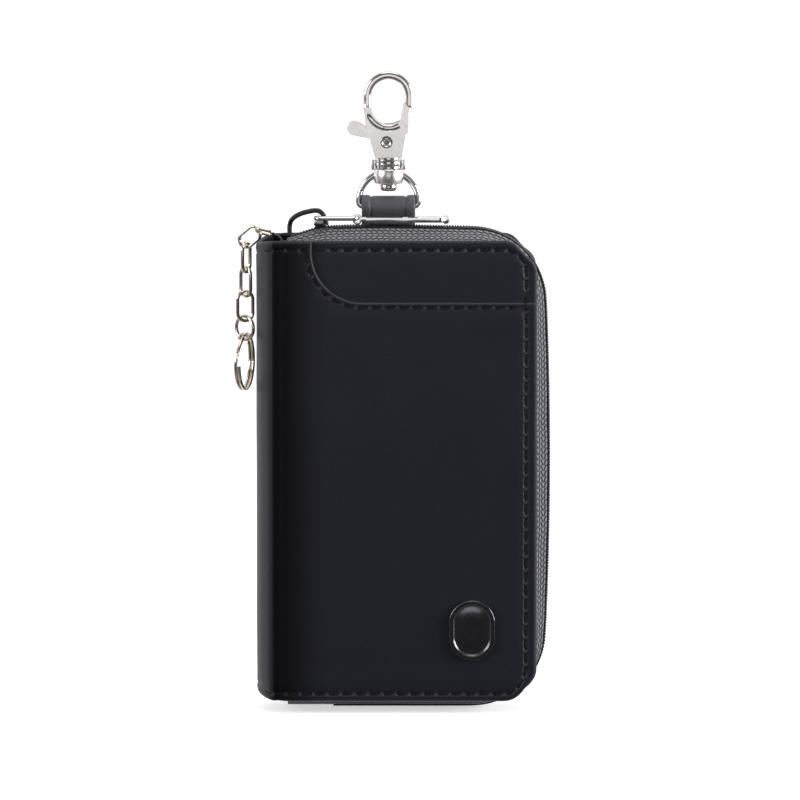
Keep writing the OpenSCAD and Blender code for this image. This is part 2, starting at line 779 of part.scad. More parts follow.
module chain_link_1() { hang_link(0); }
module chain_link_2() { hang_link(1); }
module chain_link_3() { hang_link(2); }

module jump_ring() {
  color(gold) translate([link_x[3], mid_y, jump_z - jump_d / 2]) rotate([0, 0, link_turns[3]])
    wire_arc(0, 0, (jump_d - chain_wire) / 2, chain_wire, 0, 360);
}

// Two turns of round wire that meet along their length
module split_ring() {
  r = (split_d - split_wire) / 2;
  h = split_wire / 2 - turn_gap / 2;
  color(gold) translate([link_x[4], mid_y, split_z - split_d / 2])
    rotate([0, 0, link_turns[4]]) rotate([90, 0, 0])
    rotate_extrude() translate([r, 0]) union() {
      translate([0, h]) circle(d = split_wire);
      translate([0, -h]) circle(d = split_wire);
    }
}

// Area of the pocket's mouth above the scooped edge
module scoop_outline() {
  x = crease_x + scoop_x;
  z = top_z - scoop_depth;
  translate([x + scoop_r, z]) square([cover_w, scoop_depth + over]);
  translate([x, z + scoop_r]) square([cover_w, scoop_depth + over]);
  translate([x + scoop_r, z + scoop_r]) circle(r = scoop_r);
}

module front_cover() {
  color(leather) panel(front_in_y, leather_t) difference() {
    cover_outline(crease_x + crease_gap, 0);
    scoop_outline();
  }
}

module front_pocket_panel() {
  color(leather) panel(pocket_in_y, leather_t) cover_outline(crease_x + 2 * leather_t, 0);
}

module front_lining() {
  color(cloth_black) panel(front_lin_y, lining_t) cover_outline(crease_x + 3 * leather_t, inset);
}

pocket_t = 0.7;
pocket_side = tape_margin + tape_in + clear;

// A slip pocket on the inside of the front cover, with a rounded dip for the thumb
module slip_pocket(y, share) {
  x = tape_left_x;
  l = edge_x - pocket_side - x;
  h = (cover_h - 2 * pocket_side) * share;
  dip_r = l * 0.2;
  color(leather) panel(y, pocket_t) difference() {
    union() {
      r = zip_corner_r - pocket_side;
      translate([x, low_z + pocket_side]) square([l - r, h]);
      translate([x, low_z + zip_corner_r]) square([l, h - r]);
      translate([x + l - r, low_z + zip_corner_r]) circle(r = r);
    }
    translate([x + l / 2, low_z + pocket_side + h + dip_r * 0.6]) circle(r = dip_r);
  }
}

module inner_pocket_tall() { slip_pocket(front_lin_y + pocket_t, 0.62); }
module inner_pocket_short() { slip_pocket(front_lin_y + 2 * pocket_t, 0.44); }

// Long round plate with a raised rim
module badge() {
  module pill(m) {
    r = badge_w / 2 - m;
    s = badge_h / 2 - badge_w / 2;
    translate([-r, -s]) square([2 * r, 2 * s]);
    for (z = [-s, s]) {
      translate([0, z]) circle(r = r);
    }
  }
  rim_w = badge_w / 8;
  color(gunmetal) translate([edge_x - badge_in, 0, low_z + badge_up]) difference() {
    panel(front_out_y, badge_t) pill(0);
    panel(front_out_y - badge_t * 0.65, badge_t) pill(rim_w);
  }
}

// Plate, short side lips, nose post between the coils and the plate under the tapes
module slider_body() {
  half = slider_w / 2;
  nose = slider_l * 0.36;
  lip_h = coil_h * 0.45;
  under_z = top_z + coil_low - tape_t - 4 * clear / 3;
  under_w = coil_w;
  post_w = coil_gap - 2 * clear;
  color(gunmetal) {
    hull() {
      for (y = [mid_y - half + slider_t, mid_y + half - slider_t]) {
        translate([slider_x + slider_t, y, plate_low_z]) cylinder(r = slider_t, h = slider_t, $fn = 32);
      }
      for (y = [mid_y - half * 0.75, mid_y + half * 0.75]) {
        translate([slider_x + slider_l - slider_t, y, plate_low_z])
          cylinder(r = slider_t, h = slider_t, $fn = 32);
      }
    }
    for (y = [mid_y - half, mid_y + half - slider_t]) {
      translate([slider_x + slider_t * 2, y, plate_low_z - lip_h])
        cube([slider_l * 0.5, slider_t, lip_h + slider_t / 2]);
    }
    translate([slider_x + slider_t, mid_y - post_w / 2, under_z - slider_t])
      cube([nose, post_w, plate_low_z - under_z + 1.5 * slider_t]);
    translate([slider_x + slider_t, mid_y - under_w, under_z - slider_t])
      cube([slider_l - 2 * slider_t, 2 * under_w, slider_t]);
  }
}

// The bail rises from the nose and rounds over the link's end wire
module slider_bail() {
  foot_x = slider_x + bail_t;
  foot_r = bail_t * 0.9;
  foot_z = plate_top_z;
  color(gunmetal) panel(mid_y + bail_w / 2, bail_w) difference() {
    hull() {
      translate([pull_x, pull_z]) circle(r = bail_r, $fn = 32);
      translate([foot_x, foot_z]) circle(r = foot_r, $fn = 32);
    }
    hull() {
      translate([pull_x, pull_z]) circle(r = bail_hole_r, $fn = 32);
      translate([foot_x + 2.2 * bail_t, foot_z]) circle(r = foot_r * 0.2, $fn = 32);
    }
    translate([slider_x - over, plate_top_z - 2 * bail_r]) square([slider_l + 2 * over, 2 * bail_r]);
  }
}

// Rounded rectangle of wire, flat above the zip
module pull_link() {
  r = link_wire;
  hx = (link_l - link_wire) / 2;
  hy = (link_w - link_wire) / 2;
  color(chrome) translate([pull_x + hx, mid_y, pull_z]) {
    for (a = [0, 1]) {
      mirror([a, 0, 0]) {
        translate([-hx, -hy + r, 0]) rotate([-90, 0, 0]) cylinder(d = link_wire, h = 2 * (hy - r));
        for (b = [0, 1]) {
          mirror([0, b, 0]) {
            translate([-hx + r, -hy + r, 0]) rotate([0, 0, 180]) rotate_extrude(angle = 90)
              translate([r, 0]) circle(d = link_wire);
          }
        }
      }
    }
    for (y = [-hy, hy]) {
      translate([-hx + r, y, 0]) rotate([0, 90, 0]) cylinder(d = link_wire, h = 2 * (hx - r));
    }
  }
}

// Flat pull with a knuckle round the link's end wire, a low rib and a bead at its tip
module pull_plate() {
  knuckle_l = link_w - 2 * link_wire - 2 * clear - link_wire;
  neck = 1.6 * knuckle_r;
  corner = plate_w / 3;
  bead_r = 0.85 * plate_t;
  plate_x = link_end_x + neck + clear;
  end_x = link_end_x + plate_l - bead_r;
  color(chrome) difference() {
    union() {
      rod_y_dir(link_end_x, pull_z, knuckle_r, mid_y - knuckle_l / 2, mid_y + knuckle_l / 2);
      translate([link_end_x, mid_y - knuckle_l / 2, pull_z - plate_t / 2])
        cube([2 * neck, knuckle_l, plate_t]);
      translate([plate_x, mid_y - plate_w / 2, pull_z - plate_t / 2])
        cube([end_x - corner - plate_x, plate_w, plate_t]);
      translate([plate_x, mid_y - plate_w / 2 + corner, pull_z - plate_t / 2])
        cube([end_x - plate_x, plate_w - 2 * corner, plate_t]);
      for (y = [-1, 1]) {
        translate([end_x - corner, mid_y + y * (plate_w / 2 - corner), pull_z - plate_t / 2])
          cylinder(r = corner, h = plate_t);
      }
      translate([link_end_x + plate_l / 2, mid_y - plate_w / 2, pull_z - 0.65 * plate_t])
        cube([plate_t, plate_w, 1.3 * plate_t]);
      rod_y_dir(end_x, pull_z, bead_r, mid_y - plate_w * 0.3, mid_y + plate_w * 0.3);
    }
    rod_y_dir(link_end_x, pull_z, link_wire / 2 + run_fit, mid_y - link_w, mid_y + link_w);
  }
}

hook_body();
gate_rivet();
gate_spring();
swivel_pin();
gate_lever();
swivel_ring();
hang_tab();
back_cover();
back_lining();
zip_tape_back();
zip_coil_back();
zip_stop();
key_rail();
rail_rod();
rail_rivets();
spine_cover();
spine_lining();
chain_anchor();
chain_top_link();
front_cover();
front_pocket_panel();
front_lining();
zip_tape_front();
zip_coil_front();
inner_pocket_tall();
inner_pocket_short();
badge();
slider_body();
slider_bail();
pull_link();
pull_plate();
chain_link_1();
chain_link_2();
chain_link_3();
jump_ring();
split_ring();
key_hook_1();
key_hook_2();
key_hook_3();
key_hook_4();
key_hook_5();
key_hook_6();
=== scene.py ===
import math
import bmesh
import bpy
import numpy
from mathutils import Matrix, Vector, noise


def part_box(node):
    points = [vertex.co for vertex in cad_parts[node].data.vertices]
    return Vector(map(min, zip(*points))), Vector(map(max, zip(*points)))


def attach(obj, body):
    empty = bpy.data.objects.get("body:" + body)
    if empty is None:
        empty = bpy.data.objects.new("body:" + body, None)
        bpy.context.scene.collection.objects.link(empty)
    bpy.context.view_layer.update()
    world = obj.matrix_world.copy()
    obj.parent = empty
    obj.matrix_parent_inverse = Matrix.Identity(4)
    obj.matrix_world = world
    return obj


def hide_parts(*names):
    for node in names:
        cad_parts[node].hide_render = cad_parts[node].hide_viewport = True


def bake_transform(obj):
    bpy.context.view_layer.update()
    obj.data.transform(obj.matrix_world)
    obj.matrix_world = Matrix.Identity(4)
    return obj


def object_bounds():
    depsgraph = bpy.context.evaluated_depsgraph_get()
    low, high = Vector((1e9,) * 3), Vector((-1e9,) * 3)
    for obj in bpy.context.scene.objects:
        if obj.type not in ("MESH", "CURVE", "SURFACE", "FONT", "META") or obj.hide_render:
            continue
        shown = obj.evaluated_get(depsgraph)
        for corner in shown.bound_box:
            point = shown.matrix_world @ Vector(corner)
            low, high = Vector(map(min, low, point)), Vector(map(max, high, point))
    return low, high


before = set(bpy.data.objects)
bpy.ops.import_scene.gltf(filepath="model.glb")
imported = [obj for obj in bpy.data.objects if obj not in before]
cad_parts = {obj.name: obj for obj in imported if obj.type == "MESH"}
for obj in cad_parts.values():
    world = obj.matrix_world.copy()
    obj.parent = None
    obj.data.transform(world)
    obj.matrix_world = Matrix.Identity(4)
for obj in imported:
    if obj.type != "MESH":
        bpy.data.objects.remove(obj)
cadLow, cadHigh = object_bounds()
mm = 0.001                                   # sizes below are millimetres, and toObject makes them metres
print("stage: frame loaded")


def nodeBox(node):
    low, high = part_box(node)
    return low / mm, high / mm


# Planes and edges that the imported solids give
coverLow, coverHigh = nodeBox("front_cover")
backHigh = nodeBox("back_cover")[1]
liningLow, liningHigh = nodeBox("back_lining")
frontLiningLow, frontLiningHigh = nodeBox("front_lining")
spineLow, spineHigh = nodeBox("spine_cover")
body = {
    "frontY": coverLow.y,
    "backY": backHigh.y,
    "midY": (coverLow.y + backHigh.y) / 2,
    "topZ": coverHigh.z,
    "lowZ": coverLow.z,
    "edgeX": coverHigh.x,
    "creaseX": coverLow.x - 0.5,
    "cornerR": 8.0,
    "leather": coverHigh.y - coverLow.y,
    "spineLeftX": spineLow.x,
    "spineTopZ": spineHigh.z,
}
body["midZ"] = (body["topZ"] + body["lowZ"]) / 2

# Camera: long lens, a little above the case, at the photograph's viewing angle
shot = {
    "distance": 2.0,
    "elevation": 7.0,
    "mmPerPixel": 0.2626,
    "pixels": 800,
    "target": (3.02, 0.0, -84.6),
    "sensor": 36.0,
}


def makeCamera():
    data = bpy.data.cameras.new("camera")
    camera = bpy.data.objects.new("camera", data)
    bpy.context.scene.collection.objects.link(camera)
    tilt = math.radians(shot["elevation"])
    back = Vector((0, -math.cos(tilt), math.sin(tilt)))
    camera.location = Vector(shot["target"]) * mm + back * shot["distance"]
    camera.rotation_euler = (-back).to_track_quat("-Z", "Y").to_euler()
    data.sensor_width = shot["sensor"]
    width = shot["mmPerPixel"] * mm * shot["pixels"]
    data.lens = shot["sensor"] * shot["distance"] / width
    data.clip_start = 0.05
    data.clip_end = 30
    bpy.context.scene.camera = camera


makeCamera()
bpy.context.scene.view_settings.view_transform = "Standard"
print("stage: camera")


# Adds a shader node and fills its sockets with values or links
def addNode(tree, kind, sockets=None, **settings):
    node = tree.nodes.new("ShaderNode" + kind)
    for key, value in settings.items():
        setattr(node, key, value)
    for key, value in (sockets or {}).items():
        if isinstance(value, bpy.types.NodeSocket):
            tree.links.new(value, node.inputs[key])
        else:
            node.inputs[key].default_value = value
    return node


def ramp(tree, source, stops):
    node = addNode(tree, "ValToRGB", {"Fac": source})
    points = node.color_ramp.elements
    while len(points) < len(stops):
        points.new(0.5)
    for point, (place, colour) in zip(points, stops):
        point.position = place
        point.color = (*colour, 1) if isinstance(colour, tuple) else (colour, colour, colour, 1)
    return node.outputs["Color"]


def calc(tree, operation, a, b=0.0, c=0.0):
    return addNode(tree, "Math", {0: a, 1: b, 2: c}, operation=operation).outputs[0]


def fade(tree, value, start, end, low=0.0, high=1.0):
    span = {"Value": value, "From Min": start, "From Max": end, "To Min": low, "To Max": high}
    return addNode(tree, "MapRange", span, interpolation_type="SMOOTHSTEP").outputs[0]


def blendColour(tree, factor, a, b, mode="MIX"):
    node = addNode(tree, "Mix", {"Factor": factor}, data_type="RGBA", blend_type=mode)
    for name, value in (("A", a), ("B", b)):
        socket = next(s for s in node.inputs if s.name == name and s.type == "RGBA")
        if isinstance(value, bpy.types.NodeSocket):
            tree.links.new(value, socket)
        else:
            socket.default_value = (*value, 1)
    return next(s for s in node.outputs if s.type == "RGBA")


def newMaterial(name, **values):
    material = bpy.data.materials.new(name)
    material.use_nodes = True
    shader = material.node_tree.nodes["Principled BSDF"]
    for key, value in values.items():
        shader.inputs[key.replace("_", " ")].default_value = value
    return material, material.node_tree, shader


def fillShader(tree, shader, **sockets):
    for key, socket in sockets.items():
        tree.links.new(socket, shader.inputs[key.replace("_", " ")])


def objectPoint(tree, scale=(1, 1, 1)):
    place = addNode(tree, "TexCoord").outputs["Object"]
    return addNode(tree, "Mapping", {"Vector": place, "Scale": scale}).outputs[0]


def perMm(size):
    return 1 / (size * mm)


leatherLook = {
    "pebble": 0.7,                           # grain size
    "fine": 0.32,                            # the finest grain's size
    "grainDepth": 0.07,
    "swell": 16,                             # size of the soft hollows
    "swellDepth": 0.6,
    "wrinkle": 11.0,                         # spacing of the faint creases
    "rowDepth": 0.24,                        # dent that the stitches press in
    # painted shade in the stitch dents: its colour and strength
    "rowTone": (0.001, 0.001, 0.002),
    "rowShadeStrength": 0.85,
    "groove": (0.1, 0.7),                    # from a row's middle to the dent's edge
    "spot": (0.15, 0.6),                     # the same for the painted highlight on the leather between stitches
    "cutEdgeAndHighlight": (0.3, 0.55),                     # width of the cut edge's lighter colour and its painted highlight
    "spineFrom": -29.6,                      # the spine's fine cross lines start left of here
    "spineLine": 0.55,
    "spineLines": 0.7,                       # how strong they are
    "paintedShadeFrom": -28.5,                      # painted shade: the leather's colour and shine are darker from the crease to here
    "paintedShadeTo": -15.0,
    "paintedShade": 0.3,
    "shine": 0.36,
    "stitchHighlightTone": (0.06, 0.06, 0.075),         # painted highlight on the leather between two stitches
    "rimToneAndHighlight": (0.045, 0.045, 0.058),        # cut edge's lighter colour, with a painted highlight along it
}


def leatherMaterial(name, colour, light, roughness, grain, rows=False, spine=False):
    material, tree, shader = newMaterial(name, IOR=1.45, Specular_IOR_Level=0.4, Sheen_Weight=0.03,
                                         Sheen_Roughness=0.5)
    look = leatherLook
    point = objectPoint(tree)
    cells = addNode(tree, "TexVoronoi", {"Vector": point, "Scale": perMm(look["pebble"]), "Randomness": 1.0},
                    feature="DISTANCE_TO_EDGE")
    fine = addNode(tree, "TexNoise", {"Vector": point, "Scale": perMm(look["fine"]), "Detail": 4.0,
                                      "Roughness": 0.6})
    soft = addNode(tree, "TexNoise", {"Vector": point, "Scale": perMm(look["swell"]), "Detail": 3.0,
                                      "Roughness": 0.55})
    veins = addNode(tree, "TexNoise", {"Vector": point, "Scale": perMm(look["wrinkle"]), "Detail": 5.0,
                                       "Roughness": 0.55, "Distortion": 0.5})
    pebble = ramp(tree, cells.outputs["Distance"], [(0.0, 0.0), (0.2, 1.0)])
    height = blendColour(tree, 0.5, pebble, fine.outputs["Color"])
    if spine:
        lines = addNode(tree, "TexNoise", {"Vector": objectPoint(tree, (0.1, 0.1, 1.0)),
                                           "Scale": perMm(look["spineLine"]), "Detail": 2.0})
        place = addNode(tree, "SeparateXYZ", {"Vector": point}).outputs["X"]
        onSpine = fade(tree, place, look["spineFrom"] * mm, (look["spineFrom"] - 1.5) * mm, 0.0,
                       look["spineLines"])
        height = blendColour(tree, onSpine, height, lines.outputs["Color"])
    crease = ramp(tree, veins.outputs[0], [(0.47, 1.0), (0.495, 0.55), (0.505, 0.55), (0.53, 1.0)])
    height = blendColour(tree, 1.0, height, crease, "MULTIPLY")
    normal = addNode(tree, "Bump", {"Strength": 0.3, "Distance": look["swellDepth"] * mm,
                                    "Height": soft.outputs[0]}).outputs[0]
    tone = blendColour(tree, soft.outputs[0], colour, light)
    gloss = ramp(tree, fine.outputs[0], [(0.3, roughness - 0.06), (0.7, roughness + 0.1)])
    if spine:
        # painted shade: colour and shine are darkened near the crease and fade out to the right; the spine
        # itself is left out
        paintedShade = fade(tree, place, look["paintedShadeFrom"] * mm, look["paintedShadeTo"] * mm, look["paintedShade"], 1.0)
        spineOutOfShade = fade(tree, place, look["spineFrom"] * mm, (look["spineFrom"] - 0.8) * mm, 0.0, 1.0)
        paintedShade = calc(tree, "MAXIMUM", paintedShade, spineOutOfShade)
        tone = blendColour(tree, 1.0, tone, paintedShade, "MULTIPLY")
        tree.links.new(calc(tree, "MULTIPLY", paintedShade, look["shine"]), shader.inputs["Specular IOR Level"])
    if rows:
        mark = addNode(tree, "SeparateXYZ", {"Vector": addNode(tree, "UVMap", uv_map="rows").outputs[0]})
        groove = fade(tree, mark.outputs["Y"], *look["groove"], 1.0, 0.0)
        centre = calc(tree, "PINGPONG", mark.outputs["X"], 0.5)
        pull = calc(tree, "MULTIPLY", groove, fade(tree, centre, 0.03, 0.2, 0.1, 1.0))
        normal = addNode(tree, "Bump", {"Strength": 1.0, "Distance": look["rowDepth"] * mm, "Height": pull,
                                        "Normal": normal}, invert=True).outputs[0]
        # painted shade: the dent's mask darkens the leather's colour, most at each stitch
        tone = blendColour(tree, calc(tree, "MULTIPLY", pull, look["rowShadeStrength"]), tone, look["rowTone"])
        # painted highlight: the leather between two stitches is made lighter
        spot = calc(tree, "MULTIPLY", fade(tree, centre, 0.03, 0.12, 0.6, 0.0),
                    fade(tree, mark.outputs["Y"], *look["spot"], 1.0, 0.0))
        tone = blendColour(tree, spot, tone, look["stitchHighlightTone"])
        # lighter cut edge: its own colour together with a painted highlight along the rim
        rim = addNode(tree, "Attribute", attribute_name="rim").outputs["Fac"]
        tone = blendColour(tree, fade(tree, rim, *look["cutEdgeAndHighlight"], 0.6, 0.0), tone, look["rimToneAndHighlight"])
    bump = addNode(tree, "Bump", {"Strength": grain, "Distance": look["grainDepth"] * mm, "Height": height,
                                  "Normal": normal})
    fillShader(tree, shader, Base_Color=tone, Roughness=gloss, Normal=bump.outputs[0])
    return material


weaveLook = {
    "fuzz": 0.28,                            # share of the loose fibres in the weave's height
    "fibre": 0.35,
    "ramp": (0.36, 0.74),                    # heights of the darkest and the lightest thread
}


def weaveMaterial(name, dark, light, pitch, height, coords="Object"):
    material, tree, shader = newMaterial(name, IOR=1.45, Roughness=0.8, Sheen_Weight=0.3, Sheen_Roughness=0.4)
    if coords == "UV":
        point = addNode(tree, "TexCoord").outputs["UV"]
        scale = 1 / pitch
    else:
        point = objectPoint(tree)
        scale = perMm(pitch)
    split = addNode(tree, "SeparateXYZ", {"Vector": point})
    along = calc(tree, "MULTIPLY", split.outputs["X"], scale)
    over = calc(tree, "MULTIPLY", split.outputs["Y" if coords == "UV" else "Z"], scale)
    half = calc(tree, "PINGPONG", over, 1.0)     # herringbone: the twill turns at every rib
    diagonal = calc(tree, "SINE", calc(tree, "MULTIPLY", calc(tree, "ADD", along, half), 2 * math.pi))
    ribs = calc(tree, "COSINE", calc(tree, "MULTIPLY", over, 2 * math.pi))
    level = addNode(tree, "MapRange", {"Value": calc(tree, "ADD", diagonal, ribs), "From Min": -1.6,
                                       "From Max": 1.6}).outputs[0]
    fuzz = addNode(tree, "TexNoise", {"Vector": objectPoint(tree), "Scale": perMm(weaveLook["fibre"]),
                                      "Detail": 3.0})
    grainy = addNode(tree, "Mix", {"Factor": weaveLook["fuzz"], "A": level, "B": fuzz.outputs[0]},
                     data_type="FLOAT").outputs[0]
    colour = ramp(tree, grainy, list(zip(weaveLook["ramp"], (dark, light))))
    bump = addNode(tree, "Bump", {"Strength": 0.9, "Distance": height * mm, "Height": grainy})
    fillShader(tree, shader, Base_Color=colour, Normal=bump.outputs[0])
    return material


def metalMaterial(name, colour, roughness, scratch=0.03, brushed=(1, 1, 1), scale=0.5):
    material, tree, shader = newMaterial(name, Metallic=1.0)
    fine = addNode(tree, "TexNoise", {"Vector": objectPoint(tree, brushed), "Scale": perMm(scale),
                                      "Detail": 4.0, "Roughness": 0.6})
    soft = addNode(tree, "TexNoise", {"Vector": objectPoint(tree), "Scale": perMm(4), "Detail": 2.0})
    tone = blendColour(tree, soft.outputs[0], [c * 0.88 for c in colour], colour)
    gloss = ramp(tree, fine.outputs[0], [(0.3, roughness), (0.75, roughness + 0.1)])
    bump = addNode(tree, "Bump", {"Strength": scratch, "Distance": 0.05 * mm, "Height": fine.outputs[0]})
    fillShader(tree, shader, Base_Color=tone, Roughness=gloss, Normal=bump.outputs[0])
    return material


def plasticMaterial(name, colour, light, roughness):
    material, tree, shader = newMaterial(name, IOR=1.5, Specular_IOR_Level=0.4)
    fine = addNode(tree, "TexNoise", {"Vector": objectPoint(tree), "Scale": perMm(0.6), "Detail": 3.0})
    tone = ramp(tree, fine.outputs[0], [(0.3, colour), (0.8, light)])
    gloss = ramp(tree, fine.outputs[0], [(0.3, roughness), (0.8, roughness + 0.15)])
    bump = addNode(tree, "Bump", {"Strength": 0.2, "Distance": 0.04 * mm, "Height": fine.outputs[0]})
    fillShader(tree, shader, Base_Color=tone, Roughness=gloss, Normal=bump.outputs[0])
    return material


navyBlack, navyLight = (0.0066, 0.0070, 0.0135), (0.0108, 0.0114, 0.0205)
coverLeather = leatherMaterial("cover leather", navyBlack, navyLight, 0.46, 0.5, rows=True, spine=True)
# tab leather's lighter colour: partly the strap's own tone, partly painted light on its curved top; the anchor
# strap shares it
tabLeather = leatherMaterial("tab leather", (0.06, 0.06, 0.072), (0.11, 0.11, 0.125), 0.4, 0.9)
innerLeather = leatherMaterial("inner leather", (0.011, 0.011, 0.015), (0.017, 0.017, 0.022), 0.5, 0.4)
threadBlack = plasticMaterial("stitching thread", (0.0008, 0.0008, 0.0012), (0.002, 0.002, 0.003), 0.9)
liningCloth = weaveMaterial("lining cloth", (0.018, 0.018, 0.021), (0.04, 0.04, 0.045), 0.5, 0.05)
tapeCloth = weaveMaterial("zip tape weave", (0.001, 0.001, 0.002), (0.235, 0.235, 0.265), 1.5, 0.34, "UV")
toothPlastic = plasticMaterial("zip teeth", (0.004, 0.004, 0.005), (0.012, 0.012, 0.015), 0.4)
hookNickel = metalMaterial("hook nickel", (0.80, 0.76, 0.74), 0.12)
ringChrome = metalMaterial("ring chrome", (0.80, 0.79, 0.80), 0.07)
barrelBrushed = metalMaterial("brushed barrel", (0.93, 0.90, 0.89), 0.24, 0.25, (3.0, 3.0, 0.3), 0.25)
paleGold = metalMaterial("pale gold plate", (0.80, 0.71, 0.62), 0.1)
gunMetal = metalMaterial("gunmetal", (0.07, 0.07, 0.075), 0.3, 0.08)
sliderBlack = metalMaterial("black slider", (0.03, 0.03, 0.033), 0.35, 0.08)
blackNickel = metalMaterial("black nickel", (0.17, 0.17, 0.19), 0.16)
railSteel = metalMaterial("nickel-plated rail", (0.6, 0.6, 0.62), 0.2, 0.1, (3.0, 1.0, 0.3))
print("stage: materials")


# Edges whose faces meet at more than an angle in degrees
def sharpEdges(bm, angle):
    limit = math.radians(angle)
    return [e for e in bm.edges if len(e.link_faces) == 2 and e.calc_face_angle(0) > limit]


# Smooth faces, with the shading broken only at sharp edges
def sharpen(bm, angle):
    for face in bm.faces:
        face.smooth = True
    for edge in bm.edges:
        edge.smooth = True
    for edge in sharpEdges(bm, angle):
        edge.smooth = False


# Finishes a bmesh as an object at the origin, in metres
def toObject(name, bm, material, angle=38, mends=True, weigh=False):
    if mends:
        bmesh.ops.remove_doubles(bm, verts=bm.verts, dist=0.0005)
        bmesh.ops.recalc_face_normals(bm, faces=bm.faces)
    bmesh.ops.scale(bm, vec=(mm, mm, mm), verts=bm.verts)
    sharpen(bm, angle)
    mesh = bpy.data.meshes.new(name)
    bm.to_mesh(mesh)
    bm.free()
    piece = bpy.data.objects.new(name, mesh)
    bpy.context.scene.collection.objects.link(piece)
    mesh.materials.append(material)
    if weigh:
        even = piece.modifiers.new("even normals", "WEIGHTED_NORMAL")
        even.keep_sharp = True
    return piece


def mount(piece, bodyName, slotName, *replaced):
    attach(piece, bodyName)
    if replaced:
        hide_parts(*replaced)


# A face in the XZ plane
def flatFace(bm, points):
    return bm.faces.new([bm.verts.new((x, 0, z)) for x, z in points])


def bevelVerts(bm, verts, radius, segments):
    bmesh.ops.bevel(bm, geom=verts, offset=radius, offset_type="OFFSET", segments=segments, profile=0.5,
                    affect="VERTICES", material=-1)


def roundCorners(bm, corners, radius, segments=10):
    bevelVerts(bm, [v for v in bm.verts if any(abs(v.co.x - x) < 1e-4 and abs(v.co.z - z) < 1e-4
                                               for x, z in corners)], radius, segments)


def newVerts(out):
    return [g for g in out["geom"] if isinstance(g, bmesh.types.BMVert)]


def thicken(bm, way):
    out = bmesh.ops.extrude_face_region(bm, geom=bm.faces[:])
    bmesh.ops.translate(bm, verts=newVerts(out), vec=way)
    bmesh.ops.recalc_face_normals(bm, faces=bm.faces)


def bevelEdges(bm, edges, width, segments=2):
    bmesh.ops.bevel(bm, geom=edges, offset=width, offset_type="OFFSET", segments=segments, profile=0.5,
                    affect="EDGES", material=-1, clamp_overlap=True)


def softenRim(bm, width, segments=2, keepX=None, angle=50):
    rim = sharpEdges(bm, angle)
    if keepX is not None:
        rim = [e for e in rim if not all(abs(v.co.x - keepX) < 1e-4 for v in e.verts)]
    bevelEdges(bm, rim, width, segments)


def cutAt(bm, point, normal, **clear):
    return bmesh.ops.bisect_plane(bm, geom=bm.verts[:] + bm.edges[:] + bm.faces[:], dist=1e-5, plane_co=point,
                                  plane_no=normal, **clear)


# Cuts a plate across, so that it has points to bend at
def cutGrid(bm, xCuts, zCuts):
    bmesh.ops.connect_verts_concave(bm, faces=bm.faces[:])
    for place in xCuts:
        cutAt(bm, (place, 0, 0), (1, 0, 0))
    for place in zCuts:
        cutAt(bm, (0, 0, place), (0, 0, 1))


def spread(low, high, step):
    count = max(1, round((high - low) / step))
    return [low + (high - low) * i / count for i in range(count + 1)]


# Outline rings at the given distances in from the edge
def insetRings(bm, distances):
    inner = bm.faces[:]
    last = 0
    for distance in distances:
        bmesh.ops.inset_region(bm, faces=inner, thickness=distance - last, use_boundary=True,
                               use_even_offset=True)
        last = distance


def smoothStep(low, high, value):
    t = min(1, max(0, (value - low) / (high - low)))
    return t * t * (3 - 2 * t)


def lookUp(stops, value):
    for (a, low), (b, high) in zip(stops, stops[1:]):
        if value <= b:
            return low + (high - low) * max(0.0, (value - a) / (b - a))
    return stops[-1][1]


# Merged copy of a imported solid
def cadCopy(node):
    bm = bmesh.new()
    bm.from_mesh(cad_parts[node].data)
    bmesh.ops.scale(bm, vec=(1 / mm,) * 3, verts=bm.verts)
    bmesh.ops.remove_doubles(bm, verts=bm.verts, dist=0.002)
    bmesh.ops.dissolve_limit(bm, angle_limit=math.radians(1.0), verts=bm.verts, edges=bm.edges)
    return bm


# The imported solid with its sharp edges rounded
def dressCad(node, bodyName, slotName, material, bevel=0.12, segments=2, angle=38):
    bm = cadCopy(node)
    if bevel:
        bevelEdges(bm, sharpEdges(bm, angle), bevel, segments)
    mount(toObject(node + ".dressed", bm, material, angle, weigh=True), bodyName, slotName, node)


def closedLoop(bm, points):
    verts = [bm.verts.new(point) for point in points]
    return [bm.edges.new(pair) for pair in zip(verts, verts[1:] + verts[:1])]


# Runs a row of edges straight on and leaves faces behind
def runAlong(bm, edges, vector, steps):
    for _ in range(steps):
        out = bmesh.ops.extrude_edge_only(bm, edges=edges)
        edges = [g for g in out["geom"] if isinstance(g, bmesh.types.BMEdge) and g.is_boundary]
        bmesh.ops.translate(bm, verts=newVerts(out), vec=Vector(vector) / steps)
    return edges


# The same round an axis
def turnRound(bm, edges, centre, axis, angle, steps, lift=(0, 0, 0)):
    geom = list({v for e in edges for v in e.verts}) + list(edges)
    out = bmesh.ops.spin(bm, geom=geom, cent=centre, axis=axis, angle=angle, steps=steps, dvec=lift)
    return [g for g in out["geom_last"] if isinstance(g, bmesh.types.BMEdge)]


# Round section of a wire at a point, across a direction
def wireSection(bm, place, direction, radius, segments=16):
    turn = Vector(direction).to_track_quat("Z", "Y").to_matrix().to_4x4()
    out = bmesh.ops.create_circle(bm, cap_ends=False, segments=segments, radius=radius,
                                  matrix=Matrix.Translation(place) @ turn)
    return list({e for v in out["verts"] for e in v.link_edges})


def closeEnd(bm, edges):
    bmesh.ops.edgeloop_fill(bm, edges=edges)


